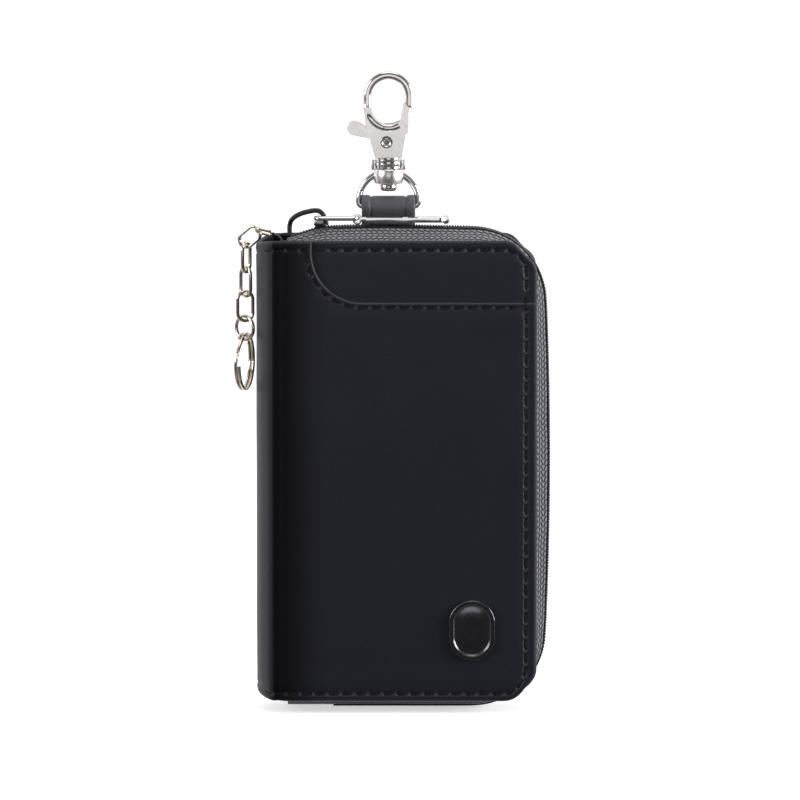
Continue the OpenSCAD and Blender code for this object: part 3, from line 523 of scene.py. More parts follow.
# Solid of revolution round a vertical or level axis; points are (radius, along the axis)
def turned(bm, points, centre, axis="Z", steps=48):
    ways = {"Z": (Vector((1, 0, 0)), Vector((0, 0, 1))), "Y": (Vector((1, 0, 0)), Vector((0, -1, 0)))}
    out, up = ways[axis]
    verts = [bm.verts.new(Vector(centre) + out * r + up * h) for r, h in points]
    edges = [bm.edges.new(pair) for pair in zip(verts, verts[1:])]
    bmesh.ops.spin(bm, geom=verts + edges, cent=centre, axis=up, angle=2 * math.pi, steps=steps, use_merge=True)
    bmesh.ops.remove_doubles(bm, verts=bm.verts, dist=0.0005)


# Flat path through points, with its corners rounded
def linePath(points, radii):
    dense = []
    for i, (point, radius) in enumerate(zip(points, radii)):
        here = Vector(point)
        if radius == 0:
            dense.append(here)
            continue
        before = (Vector(points[i - 1]) - here).normalized()
        after = (Vector(points[i + 1]) - here).normalized()
        centre = here + (before + after) * radius
        for k in range(15):
            a = math.pi / 2 * k / 14
            dense.append(centre - after * radius * math.cos(a) - before * radius * math.sin(a))
    return dense


# Length run from a path's start to each of its points
def lengthsAlong(line):
    lengths = [0.0]
    for a, b in zip(line, line[1:]):
        lengths.append(lengths[-1] + (b - a).length)
    return lengths


# Places along a path at even steps, with its direction there
def walk(dense, step, offset=0.0):
    lengths = lengthsAlong(dense)
    places = []
    at = offset
    k = 0
    while at < lengths[-1]:
        while lengths[k + 1] < at:
            k += 1
        t = (at - lengths[k]) / max(1e-9, lengths[k + 1] - lengths[k])
        places.append((dense[k].lerp(dense[k + 1], t), (dense[k + 1] - dense[k]).normalized()))
        at += step
    return places


# Nearest place on a flat path: distance to it and length along it
class FlatPath:
    def __init__(self, dense):
        points = numpy.array([p[:] for p in dense])
        self.a = points[:-1]
        self.d = points[1:] - points[:-1]
        self.long = numpy.maximum(1e-9, numpy.hypot(*self.d.T))
        self.start = numpy.concatenate(([0], numpy.cumsum(self.long)[:-1]))

    def nearest(self, x, z):
        rel = numpy.array((x, z)) - self.a
        t = numpy.clip((rel * self.d).sum(axis=1) / self.long ** 2, 0, 1)
        gap = numpy.hypot(*(rel - self.d * t[:, None]).T)
        k = int(gap.argmin())
        return float(gap[k]), float(self.start[k] + t[k] * self.long[k])


# Smooth open curve through a few points, by cutting its corners
def softCurve(points, rounds=3):
    line = [Vector(p) for p in points]
    for _ in range(rounds):
        cut = [line[0]]
        for a, b in zip(line, line[1:]):
            cut += [a.lerp(b, 0.25), a.lerp(b, 0.75)]
        line = cut + [line[-1]]
    return line


# Bends a straight strip, whose height is its length, along a path in the YZ or XZ plane
def followPath(bm, line, plane):
    lengths = lengthsAlong(line)

    def spot(at):
        at = min(max(at, 0.0), lengths[-1] - 1e-6)
        k = max(i for i in range(len(line) - 1) if lengths[i] <= at)
        return line[k].lerp(line[k + 1], (at - lengths[k]) / max(1e-9, lengths[k + 1] - lengths[k]))

    for v in bm.verts:
        way = (spot(v.co.z + 0.2) - spot(v.co.z - 0.2)).normalized()
        place = spot(v.co.z) + Vector((-way.y, way.x)) * v.co.y
        v.co = (v.co.x, place.x, place.y) if plane == "YZ" else (place.x, v.co.x, place.y)


# The leather's path in plan: round the spine and on along the cover
plan = {
    "arcR": 17.8,                            # outside of the spine's leather
    "bulge": 3.9,
    "soften": 1.5,                           # the fold's softness
    "softReach": 4,                          # how far from the fold it is felt
    "valleyX": -28.9,
    "valleyDepth": 0.6,
    "valleyWidth": 1.15,
    "dip": body["topZ"] - body["spineTopZ"],
}
plan["arcX"] = body["spineLeftX"] + plan["arcR"]
plan["half"] = math.acos(1 - plan["bulge"] / (plan["arcR"] - body["leather"] / 2))
plan["endX"] = plan["arcX"] - plan["arcR"] * math.cos(plan["half"])
plan["startX"] = plan["endX"] - plan["arcR"] * plan["half"]


# Point of the outer face in plan for a flat place x, before softening
def planPoint(x):
    if x >= plan["endX"]:
        return Vector((x, body["frontY"]))
    turn = plan["half"] - (plan["endX"] - x) / plan["arcR"]
    return Vector((plan["arcX"] - plan["arcR"] * math.cos(turn), body["midY"] - plan["arcR"] * math.sin(turn)))


# The same with the fold's corner averaged away
def softPlan(x):
    if x > plan["endX"] + plan["softReach"] or x < plan["endX"] - plan["softReach"]:
        return planPoint(x)
    steps = 6
    total = Vector((0, 0))
    for i in range(-steps, steps + 1):
        total += planPoint(x + plan["soften"] * i / steps)
    return total / (2 * steps + 1)


# Point and inward direction in plan, with the crease's valley
def planFrame(x):
    point = softPlan(x)
    along = (softPlan(x + 0.05) - softPlan(x - 0.05)).normalized()
    inward = Vector((-along.y, along.x))
    dent = plan["valleyDepth"] * math.exp(-((x - plan["valleyX"]) / plan["valleyWidth"]) ** 2)
    return point + inward * dent, inward


# Place of a leather point: x along the unrolled cover, depth in from its outer face
def skin(x, depth, z, back=False, wave=0.12):
    point, inward = planFrame(x)
    edge = (point.y - body["frontY"]) / (body["midY"] - body["frontY"])
    reach = (z - body["midZ"]) / (body["topZ"] - body["midZ"])
    z = z - plan["dip"] * edge * reach
    ripple = wave * noise.noise(Vector((x * 0.05, z * 0.04, 3.0 if back else 0.0)))
    point = point + inward * (depth + ripple)
    y = 2 * body["midY"] - point.y if back else point.y
    return Vector((point.x, y, z))


cover = {
    "scoopX": body["creaseX"] + 10.1,
    "scoopZ": body["topZ"] - 15.6,
    "scoopR": 13.2,
    "rim": 0.5,
    "cell": 5.0,
    "foldCell": 0.8,                         # finer cuts where the leather bends
    "rings": (0.8, 1.2, 1.7, 2.25),          # less than the scoop's short straight end
    "rowIn": 1.75,                           # stitch row's distance from the edge, before stretching
    "rowTop": 2.2,                           # and after it, at the top, right and low side
    "rowRight": 2.4,
    "rowLow": 1.5,
    "rowScoop": 1.25,
    "rowScoopR": 0.9,
    "rowStart": 3.4,                         # the rows begin this far round the spine
    "rowStops": (0.9, 1.6, 1.2, 0.6),        # gaps at the ends of the rows round the scoop
    "topRise": 0.5,                          # how far the rounded edges stand out past the lining
    "rightRise": 0.7,
    "lowRise": 0.5,
    "stretch": 6.0,                          # nothing moves further in than this
    "sink": [(0.5, 0.0), (0.8, -0.05), (1.2, 0.0), (1.7, 0.2), (2.25, 0.0)],
    "blendFrom": -32.2,
    "blendTo": -28.2,
}
stitch = {"pitch": 3.56, "length": 2.35, "thick": 0.66, "flat": 0.7, "sunk": 0.17, "slant": 0.08}


# Moves a flat place so that the rows lie at each side's own distance
def stretched(x, z):
    far = cover["stretch"]

    def side(gap, row, rise):
        return lookUp([(0, -rise), (cover["rowIn"], row), (far, far)], gap) if gap < far else gap

    x = body["edgeX"] - side(body["edgeX"] - x, cover["rowRight"], cover["rightRise"])
    z = body["topZ"] - side(body["topZ"] - z, cover["rowTop"], cover["topRise"])
    z = body["lowZ"] + side(z - body["lowZ"], cover["rowLow"], cover["lowRise"])
    return x, z


# Stitch rows in the flat, before stretching: the cover's own, the pocket panel's and the back's
def makeRows():
    left, right = plan["endX"] - cover["rowStart"], body["edgeX"] - cover["rowIn"]
    top, low = body["topZ"] - cover["rowIn"], body["lowZ"] + cover["rowIn"]
    turn, scoopTurn = body["cornerR"] - cover["rowIn"], cover["scoopR"] + cover["rowScoopR"]
    edgeX, edgeZ = cover["scoopX"], cover["scoopZ"]
    x, z = edgeX - cover["rowScoop"], edgeZ - cover["rowScoop"]
    before, down, side, after = cover["rowStops"]
    return {
        "front": [
            linePath([(left, top), (edgeX - before, top)], [0, 0]),
            linePath([(left, low), (right, low), (right, edgeZ)], [0, turn, 0]),
            linePath([(x, top - down), (x, z), (right - side, z)], [0, scoopTurn, 0]),
        ],
        "panel": [linePath([(edgeX + after, top), (right, top), (right, edgeZ + after)], [0, turn, 0])],
        "back": [linePath([(left, top), (right, top), (right, low), (left, low)], [0, turn, turn, 0])],
    }


# Cut edges of the same three pieces
def makeOutlines():
    past = plan["endX"] - cover["rowStart"] - 20
    right, top, low, turn = body["edgeX"], body["topZ"], body["lowZ"], body["cornerR"]
    x, z = cover["scoopX"], cover["scoopZ"]
    front = linePath([(past, top), (x, top), (x, z), (right, z), (right, low), (past, low)],
                     [0, 0, cover["scoopR"], 0, turn, 0])
    back = linePath([(past, top), (right, top), (right, low), (past, low)], [0, turn, turn, 0])
    return {"front": front, "panel": back, "back": back}


rows = makeRows()
outlines = makeOutlines()


# Sinks the outer face along the rows and writes their map: pitches along, millimetres off
def pressRows(bm, kind):
    outline = FlatPath(outlines[kind])
    paths = [FlatPath(row) for row in rows[kind]]
    uv = bm.loops.layers.uv.new("rows")
    rim = bm.verts.layers.float.new("rim")
    marks = {v: min(path.nearest(v.co.x, v.co.z) for path in paths) for v in bm.verts}
    for face in bm.faces:
        for loop in face.loops:
            gap, along = marks[loop.vert]
            loop[uv].uv = (along / stitch["pitch"], gap)
    for v in bm.verts:
        v[rim] = outline.nearest(v.co.x, v.co.z)[0]
        if v.co.y < 1e-4:
            v.co.y += lookUp(cover["sink"], v[rim])
    for v in bm.verts:
        v.co.x, v.co.z = stretched(v.co.x, v.co.z)


def makeCover(name, back):
    bm = bmesh.new()
    leftX, rightX = plan["startX"], body["edgeX"]
    lowZ, topZ = body["lowZ"], body["topZ"]
    past = leftX - 8
    if back:
        flatFace(bm, [(past, lowZ), (rightX, lowZ), (rightX, topZ), (past, topZ)])
        roundCorners(bm, [(rightX, lowZ), (rightX, topZ)], body["cornerR"], 14)
    else:
        sx, sz = cover["scoopX"], cover["scoopZ"]
        flatFace(bm, [(past, lowZ), (rightX, lowZ), (rightX, sz), (sx, sz), (sx, topZ), (past, topZ)])
        roundCorners(bm, [(rightX, lowZ)], body["cornerR"], 14)
        roundCorners(bm, [(sx, sz)], cover["scoopR"], 20)
    insetRings(bm, cover["rings"])
    cutAt(bm, (leftX, 0, 0), (1, 0, 0), clear_inner=True)
    thicken(bm, (0, body["leather"], 0))
    softenRim(bm, cover["rim"], 4, keepX=leftX)
    foldX = plan["endX"] + 5
    xCuts = spread(leftX, foldX, cover["foldCell"])[1:] + spread(foldX, rightX, cover["cell"])[1:-1]
    cutGrid(bm, xCuts, spread(lowZ, topZ, cover["cell"])[1:-1])
    pressRows(bm, "back" if back else "front")
    for v in bm.verts:
        v.co = skin(v.co.x, v.co.y, v.co.z, back)
    piece = toObject(name, bm, coverLeather, 50)
    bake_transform(piece)
    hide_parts("back_cover" if back else "front_cover", "spine_cover")


makeCover("frontCoverLeather", False)
makeCover("backCoverLeather", True)
print("stage: covers")


pocketLow = nodeBox("front_pocket_panel")[0]
panelY = pocketLow.y + 0.05
panel = {"cell": 6, "wave": 0.1, "waveScale": 0.06}


def makePocketPanel():
    bm = bmesh.new()
    lowZ, topZ, rightX = body["lowZ"], body["topZ"], body["edgeX"]
    flatFace(bm, [(pocketLow.x, lowZ), (rightX, lowZ), (rightX, topZ), (pocketLow.x, topZ)])
    roundCorners(bm, [(rightX, lowZ), (rightX, topZ)], body["cornerR"], 14)
    insetRings(bm, cover["rings"])
    thicken(bm, (0, body["leather"], 0))
    softenRim(bm, cover["rim"], 4)
    cutGrid(bm, spread(pocketLow.x, rightX, panel["cell"])[1:-1], spread(lowZ, topZ, panel["cell"])[1:-1])
    pressRows(bm, "panel")
    scale = panel["waveScale"]
    for v in bm.verts:
        v.co.y += panelY + panel["wave"] * noise.noise(Vector((v.co.x * scale, v.co.z * scale, panelY)))
    mount(toObject("frontPocketPanel", bm, coverLeather, 50), "front_cover", "leather", "front_pocket_panel")


makePocketPanel()

lining = {"inset": 1.6, "rim": 0.3, "tabGap": 0.2, "spineGap": 0.3, "spineThick": 0.6}


def makeLining(name, bodyName, node, low, high, notch=None):
    bm = bmesh.new()
    inset = lining["inset"]
    rightX, lowZ, topZ = body["edgeX"] - inset, body["lowZ"] + inset, body["topZ"] - inset
    points = [(low.x, lowZ), (rightX, lowZ), (rightX, topZ)]
    if notch:
        a, b, foot = notch
        points += [(b, topZ), (b, foot), (a, foot), (a, topZ)]
    flatFace(bm, points + [(low.x, topZ)])
    roundCorners(bm, [(rightX, lowZ), (rightX, topZ)], body["cornerR"] - inset)
    thicken(bm, (0, high.y - low.y, 0))
    softenRim(bm, lining["rim"], 2)
    bmesh.ops.translate(bm, verts=bm.verts, vec=(0, low.y, 0))
    mount(toObject(name, bm, liningCloth, 50), bodyName, "lining", node)


tabLow, tabHigh = nodeBox("hang_tab")
makeLining("frontLiningCloth", "front_cover", "front_lining", frontLiningLow, frontLiningHigh)
makeLining("backLiningCloth", "case_back", "back_lining", liningLow, liningHigh,
           (tabLow.x - lining["tabGap"], tabHigh.x + lining["tabGap"], tabLow.z - lining["tabGap"]))


# Thin cloth inside the spine's curve
def spineLining():
    low, high = nodeBox("spine_lining")
    bm = bmesh.new()
    radius = plan["arcR"] - body["leather"] - lining["spineGap"]
    half = math.asin((high.y - low.y) / 2 / radius)
    centre = Vector((plan["arcX"], body["midY"], low.z))
    start = bm.verts.new(centre - Vector((radius * math.cos(half), radius * math.sin(half), 0)))
    bmesh.ops.spin(bm, geom=[start], cent=centre, axis=(0, 0, -1), angle=2 * half, steps=24)
    runAlong(bm, bm.edges[:], (0, 0, high.z - low.z), 1)
    bmesh.ops.recalc_face_normals(bm, faces=bm.faces)
    bmesh.ops.solidify(bm, geom=bm.faces[:], thickness=-lining["spineThick"])
    mount(toObject("spineLiningCloth", bm, liningCloth, 50), "spine", "lining", "spine_lining")


spineLining()
print("stage: linings")


# Zip: tapes and teeth swept round three sides
zipRun = {
    "leftX": nodeBox("zip_tape_back")[0].x,
    "cornerR": 16.0,
    "tape": 0.55,
    "wave": 0.22,                            # unevenness of the tape between its sewn edges
    "rise": nodeBox("zip_coil_back")[1].z - body["topZ"],
    "coilH": 1.6,
    "coilW": 2.1,
    "gap": 1.0,
    "start": {-1: 12.0, 1: 1.0},             # where the front and the back row of teeth begin
    "toothPitch": 0.72,
    "toothWidth": 0.6,
    "toothTall": 1.0,
    "toothLow": 0.35,                        # share of that height left where the zip turns
    "stripLow": 0.38,                        # the teeth stand this far out of their strip
    "sideBulge": 1.0,
    "topBulge": 0.35,
    "dropX": -18.0,                          # the zip's end dives into the case left of here
    "dropSlope": 0.335,
    "dropSoft": 2.0,
}
zipX = body["edgeX"] - zipRun["cornerR"]
zipZ = body["topZ"] - zipRun["cornerR"]
zipSide = body["topZ"] - body["lowZ"] - 2 * zipRun["cornerR"]
zipFlat = zipX - zipRun["leftX"]
zipTurn = math.pi / 2 * zipRun["cornerR"]
zipLength = 2 * zipFlat + 2 * zipTurn + zipSide


# Point on the tape's base line, tangent and outward direction, along the zip from its top left end
def rimPlace(along):
    if along > zipLength / 2:
        point, tangent, out = rimPlace(zipLength - along)
        return Vector((point.x, 0, 2 * body["midZ"] - point.z)), Vector((-tangent.x, 0, tangent.z)), \
            Vector((out.x, 0, -out.z))
    if along <= zipFlat:
        return Vector((zipRun["leftX"] + along, 0, body["topZ"])), Vector((1, 0, 0)), Vector((0, 0, 1))
    along -= zipFlat
    if along <= zipTurn:
        a = along / zipRun["cornerR"]
        out = Vector((math.sin(a), 0, math.cos(a)))
        return Vector((zipX, 0, zipZ)) + out * zipRun["cornerR"], Vector((math.cos(a), 0, -math.sin(a))), out
    return Vector((body["edgeX"], 0, zipZ - along + zipTurn)), Vector((0, 0, -1)), Vector((1, 0, 0))


# Length along the zip at a place
def alongRim(x, z):
    if z < body["midZ"]:
        return zipLength - alongRim(x, 2 * body["midZ"] - z)
    if x <= zipX:
        return x - zipRun["leftX"]
    if z > zipZ:
        return zipFlat + math.atan2(x - zipX, z - zipZ) * zipRun["cornerR"]
    return zipFlat + zipTurn + zipZ - z


# How the sewn zip leaves its even line: fuller at the sides and top, diving in at its start
def settle(point):
    along = alongRim(point.x, point.z)
    base, _, out = rimPlace(along)
    rise = (point - base).dot(out)
    share = smoothStep(-1.0, zipRun["rise"], rise)
    middle = (along - zipFlat - zipTurn) / zipSide
    push = 0.0
    if 0 < middle < 1:
        push = zipRun["sideBulge"] * math.sin(math.pi * middle) ** 0.8
    elif along < zipFlat:
        push = zipRun["topBulge"] * math.sin(math.pi * along / zipFlat) ** 2
    over = zipRun["dropX"] - point.x
    drop = 0.0
    if over > -6 and point.z > body["midZ"]:
        drop = zipRun["dropSlope"] / 2 * (over + math.sqrt(over * over + zipRun["dropSoft"] ** 2))
        drop = max(0.0, drop - 0.03) * smoothStep(-3.5, 2.0, rise)
    return point + out * (push * share) - Vector((0, 0, drop))


# Sweeps a section of (out from the base line, y) points along the zip
def sweepRim(bm, section, leftX):
    first = closedLoop(bm, [(leftX, y, body["topZ"] + u) for u, y in section])
    lowCorner = (zipX, 0, body["lowZ"] + zipRun["cornerR"])
    line = runAlong(bm, list(first), (zipX - leftX, 0, 0), 24)
    line = turnRound(bm, line, (zipX, 0, zipZ), (0, 1, 0), math.pi / 2, 18)
    line = runAlong(bm, line, (0, 0, -zipSide), 30)
    line = turnRound(bm, line, lowCorner, (0, 1, 0), math.pi / 2, 18)
    line = runAlong(bm, line, (leftX - zipX, 0, 0), 20)
    closeEnd(bm, first)
    closeEnd(bm, line)


# Closed section of a tape, from the lining's face to the teeth
def tapeSection(depth, face, sign):
    tip = depth - zipRun["gap"] / 2
    rise = zipRun["rise"] - 0.55
    line = [(-6.0, 0.0), (-1.6, 0.02), (-0.9, 0.3), (-0.1, 0.12 * depth), (0.55, 0.25 * depth),
            (1.15, 0.40 * depth), (1.75, 0.54 * depth), (rise - 0.35, 0.66 * depth), (rise, 0.78 * depth),
            (rise, tip)]
    inner = []
    for i, (u, v) in enumerate(line):
        way = (Vector(line[min(len(line) - 1, i + 1)]) - Vector(line[max(0, i - 1)])).normalized()
        inner.append((u - way.y * zipRun["tape"], v + way.x * zipRun["tape"]))
    return [(u, face + sign * v) for u, v in line + inner[::-1]]


def makeTape(name, bodyName, node, sewnY, sign):
    bm = bmesh.new()
    sweepRim(bm, tapeSection(abs(body["midY"] - sewnY), sewnY, sign), zipRun["leftX"])
    uv = bm.loops.layers.uv.new("weave")
    marks = {}
    for v in bm.verts:
        along = alongRim(v.co.x, v.co.z)
        base, _, out = rimPlace(along)
        marks[v] = (along, abs(v.co.y - sewnY) + (v.co - base).dot(out))
    for face in bm.faces:
        for loop in face.loops:
            loop[uv].uv = marks[loop.vert]
    for v in bm.verts:
        band = smoothStep(0.2, 2.0, abs(v.co.y - sewnY)) * smoothStep(0.4, 2.4, abs(v.co.y - body["midY"]))
        along = marks[v][0]
        wave = zipRun["wave"] * band * noise.noise(Vector((along * 0.11, sewnY, 1.0)))
        v.co = settle(v.co + rimPlace(along)[2] * wave)
    bmesh.ops.recalc_face_normals(bm, faces=bm.faces)
    mount(toObject(name, bm, tapeCloth, 40), bodyName, "zip_tape", node)


makeTape("backZipTape", "case_back", "zip_tape_back", liningLow.y, -1)
makeTape("frontZipTape", "front_cover", "zip_tape_front", frontLiningHigh.y, 1)


# side is 1 for the back row and -1 for the front row
def makeTeeth(name, bodyName, node, side):
    bm = bmesh.new()
    inner = body["midY"] + side * zipRun["gap"] / 2
    outer = inner + side * zipRun["coilW"]
    first, rise, low = zipRun["start"][side], zipRun["rise"], zipRun["toothLow"]
    base, top = rise - zipRun["coilH"], rise - zipRun["stripLow"]
    strip = [(base, inner), (top, inner + side * 0.1), (top, outer - side * 0.2), (base, outer)]
    sweepRim(bm, strip, zipRun["leftX"] + first)
    at = first + 0.4
    while at < zipLength - first:
        spot, tangent, out = rimPlace(at)
        turning = min(abs(at - zipFlat - zipTurn * 0.45), abs(at - zipLength + zipFlat + zipTurn * 0.45))
        tall = zipRun["toothTall"] * (low + (1 - low) * smoothStep(zipTurn * 0.2, zipTurn * 0.6, turning))
        middle = spot + out * (rise - 0.5) + Vector((0, (inner + outer) / 2, 0))
        turn = Matrix((tangent, Vector((0, 1, 0)), out)).transposed().to_4x4()
        size = Matrix.Diagonal((zipRun["toothWidth"], zipRun["coilW"] - 0.1, tall, 1))
        bmesh.ops.create_uvsphere(bm, u_segments=8, v_segments=6, radius=0.5,
                                  matrix=Matrix.Translation(middle) @ turn @ size)
        at += zipRun["toothPitch"]
    for v in bm.verts:
        v.co = settle(v.co)
    mount(toObject(name, bm, toothPlastic, 60, mends=False), bodyName, "zip_teeth", node)


makeTeeth("backZipTeeth", "case_back", "zip_coil_back", 1)
makeTeeth("frontZipTeeth", "front_cover", "zip_coil_front", -1)
print("stage: zip")


# One stitch from a to b
def addStitch(bm, a, b, normal, thick):
    along = (b - a).normalized()
    side = normal.cross(along).normalized()
    turn = Matrix((along, side, normal)).transposed().to_4x4()
    size = Matrix.Diagonal(((b - a).length, thick, thick * stitch["flat"], 1))
    place = Matrix.Translation((a + b) / 2) @ turn @ size @ Matrix.Rotation(math.pi / 2, 4, "Y")
    bmesh.ops.create_uvsphere(bm, u_segments=8, v_segments=6, radius=0.5, matrix=place)


# Stitches along a flat path; place puts a flat point where it belongs
def stitchRow(bm, dense, place, normal, pitch=stitch["pitch"], length=stitch["length"],
              thick=stitch["thick"]):
    for spot, direction in walk(dense, pitch, pitch / 2):
        slant = Vector((-direction.y, direction.x)) * stitch["slant"] * length
        a = spot - direction * length / 2 - slant
        b = spot + direction * length / 2 + slant
        addStitch(bm, place(a.x, a.y), place(b.x, b.y), normal, thick)


# Where a flat place of a row lies on each of the sewn faces
def sewnPlace(kind, x, z):
    x, z = stretched(x, z)
    if kind == "panel":
        return Vector((x, panelY + stitch["sunk"], z))
    return skin(x, stitch["sunk"], z, back=kind == "back")


def makeCoverStitches(name, bodyName, kinds, outward):
    bm = bmesh.new()
    for kind in kinds:
        for row in rows[kind]:
            stitchRow(bm, row, lambda x, z: sewnPlace(kind, x, z), Vector((0, outward, 0)))
    mount(toObject(name, bm, threadBlack, 60, mends=False), bodyName, "leather")


makeCoverStitches("frontStitches", "front_cover", ("front", "panel"), -1)
makeCoverStitches("backStitches", "case_back", ("back",), 1)
print("stage: stitching")


# Hang tab: one strap folded round the ring's bar
barZ = -33.4
tab = {
    "half": 7.0,
    "thick": 1.3,
    "cell": 0.25,
    "edge": 0.35,                            # the cut edges' bevel
    "rimWidth": 1.15,
    "rimLift": 0.24,
    "rowX": 4.5,
    "rowWidth": 0.5,
    "rowDepth": 0.22,
    "rowSunk": 0.08,
    "rowEnds": 1.6,                          # gap from the rows' ends to the bar and to the case
    "stitch": (2.3, 1.7, 0.5),               # pitch, length and thickness
    "waist": 1.3,
    "loop": 2.7,
}


# Outer face of the strap in the YZ plane: from inside the case up the front, over the bar and down the back
def tabLine():
    loop = []
    for i in range(25):
        a = math.radians(205 - 230 * i / 24)
        loop.append((math.cos(a) * tab["loop"], barZ + math.sin(a) * tab["loop"]))
    front = [(liningLow.y, tabLow.z + 6), (liningLow.y, body["topZ"] - 0.6),
             (-tab["waist"], body["topZ"] + 1.4), (-tab["waist"], barZ - 3.6)]
    back = [(tab["waist"], barZ - 3.6), (tab["waist"], tabLow.z)]
    return softCurve(front + loop + back, 2)


# Raised rims and sunk stitch rows across the strap
def tabLift(x):
    edge = tab["half"] - abs(x)
    rim = tab["rimLift"] * math.sin(math.pi * min(1, max(0, edge / (2 * tab["rimWidth"])))) ** 0.7
    row = tab["rowDepth"] * max(0.0, 1 - (abs(abs(x) - tab["rowX"]) / tab["rowWidth"]) ** 2)
    return rim - row


# How far the strap stands out beyond its waist, near the bar
def tabBulge(z):
    return (tab["loop"] - tab["waist"]) * smoothStep(barZ - 3.2, barZ - 0.6, z)


def makeTab():
    line = tabLine()
    bm = bmesh.new()
    half, thick, edge = tab["half"], tab["thick"], tab["edge"]
    face = [(x, tabLift(x) if abs(x) < half else -edge) for x in spread(-half, half, tab["cell"])]
    inside = [(half, edge - thick), (half - edge, -thick), (edge - half, -thick), (-half, edge - thick)]
    first = closedLoop(bm, [(x, y, 0) for x, y in face + inside])
    last = runAlong(bm, list(first), (0, 0, lengthsAlong(line)[-1]), 70)
    closeEnd(bm, first)
    closeEnd(bm, last)
    followPath(bm, line, "YZ")
    mount(toObject("hangTabLeather", bm, tabLeather, 50), "case_back", "leather", "hang_tab")
    bm = bmesh.new()
    faceY = tab["waist"] - tab["rowSunk"]
    for x in (-tab["rowX"], tab["rowX"]):
        row = [Vector((x, barZ - tab["rowEnds"])), Vector((x, body["topZ"] + tab["rowEnds"]))]
        for side in (-1, 1):
            stitchRow(bm, row, lambda px, pz: Vector((px, side * (faceY + tabBulge(pz)), pz)),
                      Vector((0, side, 0)), *tab["stitch"])
    mount(toObject("hangTabStitches", bm, threadBlack, 60, mends=False), "case_back", "leather")


makeTab()
print("stage: tab")


# Trigger hook
hook = {
    "eyeR": 5.5,                             # middle of the eye's wire
    "startZ": -9,
    "topZ": -4.6,
    "lowZ": -7.4,
    "wide": 1.06,                            # half the wire's width in the plane of the eye
    "deep": 1.45,                            # half its depth
    "round": 0.75,
    "rimDeep": 2.22,                         # half depth of the rim that runs over the body
    "rimFade": (-6.5, -10.5),                # it grows deeper between these heights, left of rimX
    "rimX": 4,
    "nose": (5.5, -7.4),
    "noseSlope": 0.5,
    "noseTurn": 78,                          # the wire turns on this far, and is cut at the nose
    "noseEdge": 0.2,
    "slot": 1.16,
    "slotStart": 76,
    "lowEnd": 301,
    "cutZ": -7.0,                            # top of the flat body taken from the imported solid
    "edge": 0.22,
    "edgeBelow": -11,
    "collar": [(1.52, -20.55), (2.9, -20.6), (3.45, -20.85), (3.62, -21.3), (3.45, -21.75), (3.5, -22.1),
               (3.66, -22.4), (3.55, -22.85), (3.2, -23.1), (1.52, -23.1)],
}


# Rounded oblong section of the eye's wire
def eyeSection(bm, place, segments=4):
    wide, deep, r = hook["wide"], hook["deep"], hook["round"]
    points = []
    for sx, sy, start in ((1, 1, 0), (-1, 1, 90), (-1, -1, 180), (1, -1, 270)):
        for k in range(segments + 1):
            a = math.radians(start + 90 * k / segments)
            points.append((sx * (wide - r) + r * math.cos(a), sy * (deep - r) + r * math.sin(a)))
    return closedLoop(bm, [Vector(place) + Vector((x, y, 0)) for x, y in points])


# Rim that grows deeper where it crosses the body
def deepenRim(bm):
    for v in bm.verts:
        share = smoothStep(*hook["rimFade"], v.co.z) if v.co.x < hook["rimX"] else 0.0
        v.co.y *= 1 + (hook["rimDeep"] / hook["deep"] - 1) * share


# Adds one mesh in the making to another
def addTo(bm, part):
    bmesh.ops.recalc_face_normals(part, faces=part.faces)
    mesh = bpy.data.meshes.new("part")
    part.to_mesh(mesh)
    part.free()
    bm.from_mesh(mesh)
    bpy.data.meshes.remove(mesh)


# The eye from the body up, over the top and down to its sloped nose
def makeEye(bm):
    r, up = hook["eyeR"], (0, -1, 0)
    line = runAlong(bm, eyeSection(bm, (r, 0, hook["startZ"])), (0, 0, hook["topZ"] - hook["startZ"]), 6)
    line = turnRound(bm, line, (0, 0, hook["topZ"]), up, math.pi, 48)
    line = runAlong(bm, line, (0, 0, hook["lowZ"] - hook["topZ"]), 3)
    line = turnRound(bm, line, (0, 0, hook["lowZ"]), up, math.radians(hook["noseTurn"]), 20)
    closeEnd(bm, line)
    nose, way = Vector((hook["nose"][0], 0, hook["nose"][1])), Vector((hook["noseSlope"], 0, 1))
    cutAt(bm, nose, way)
    middles = {f: f.calc_center_median() for f in bm.faces}
    past = [f for f, middle in middles.items() if middle.x > 3 and (middle - nose).dot(way) < 0]
    bmesh.ops.delete(bm, geom=past, context="FACES")
    ends = bmesh.ops.holes_fill(bm, edges=bm.edges[:], sides=0)["faces"]
    bevelEdges(bm, [e for f in ends for e in f.edges], hook["noseEdge"], 3)
    deepenRim(bm)


# One half of the lower rim, which the lever's slot splits
def makeSlotRim(bm, side):
    part = bmesh.new()
    centre, start = (0, 0, hook["lowZ"]), math.radians(hook["slotStart"])
    first = eyeSection(part, (-hook["eyeR"], 0, hook["lowZ"]))
    bmesh.ops.rotate(part, verts=part.verts, cent=centre, matrix=Matrix.Rotation(-start, 3, "Y"))
    last = turnRound(part, first, centre, (0, -1, 0), math.radians(hook["lowEnd"] - 180) - start, 18)
    closeEnd(part, first)
    closeEnd(part, last)
    deepenRim(part)
    cutAt(part, (0, side * hook["slot"], 0), (0, side, 0), clear_inner=True)
    bmesh.ops.holes_fill(part, edges=part.edges[:], sides=0)
    addTo(bm, part)


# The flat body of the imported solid, below the eye
def makeFlatBody(bm):
    flat = cadCopy("hook_body")
    cutAt(flat, (0, 0, hook["cutZ"]), (0, 0, 1), clear_outer=True)
    bmesh.ops.holes_fill(flat, edges=flat.edges[:], sides=0)
    below = [e for e in sharpEdges(flat, 40) if all(v.co.z < hook["edgeBelow"] for v in e.verts)]
    bevelEdges(flat, below, hook["edge"], 3)
    addTo(bm, flat)


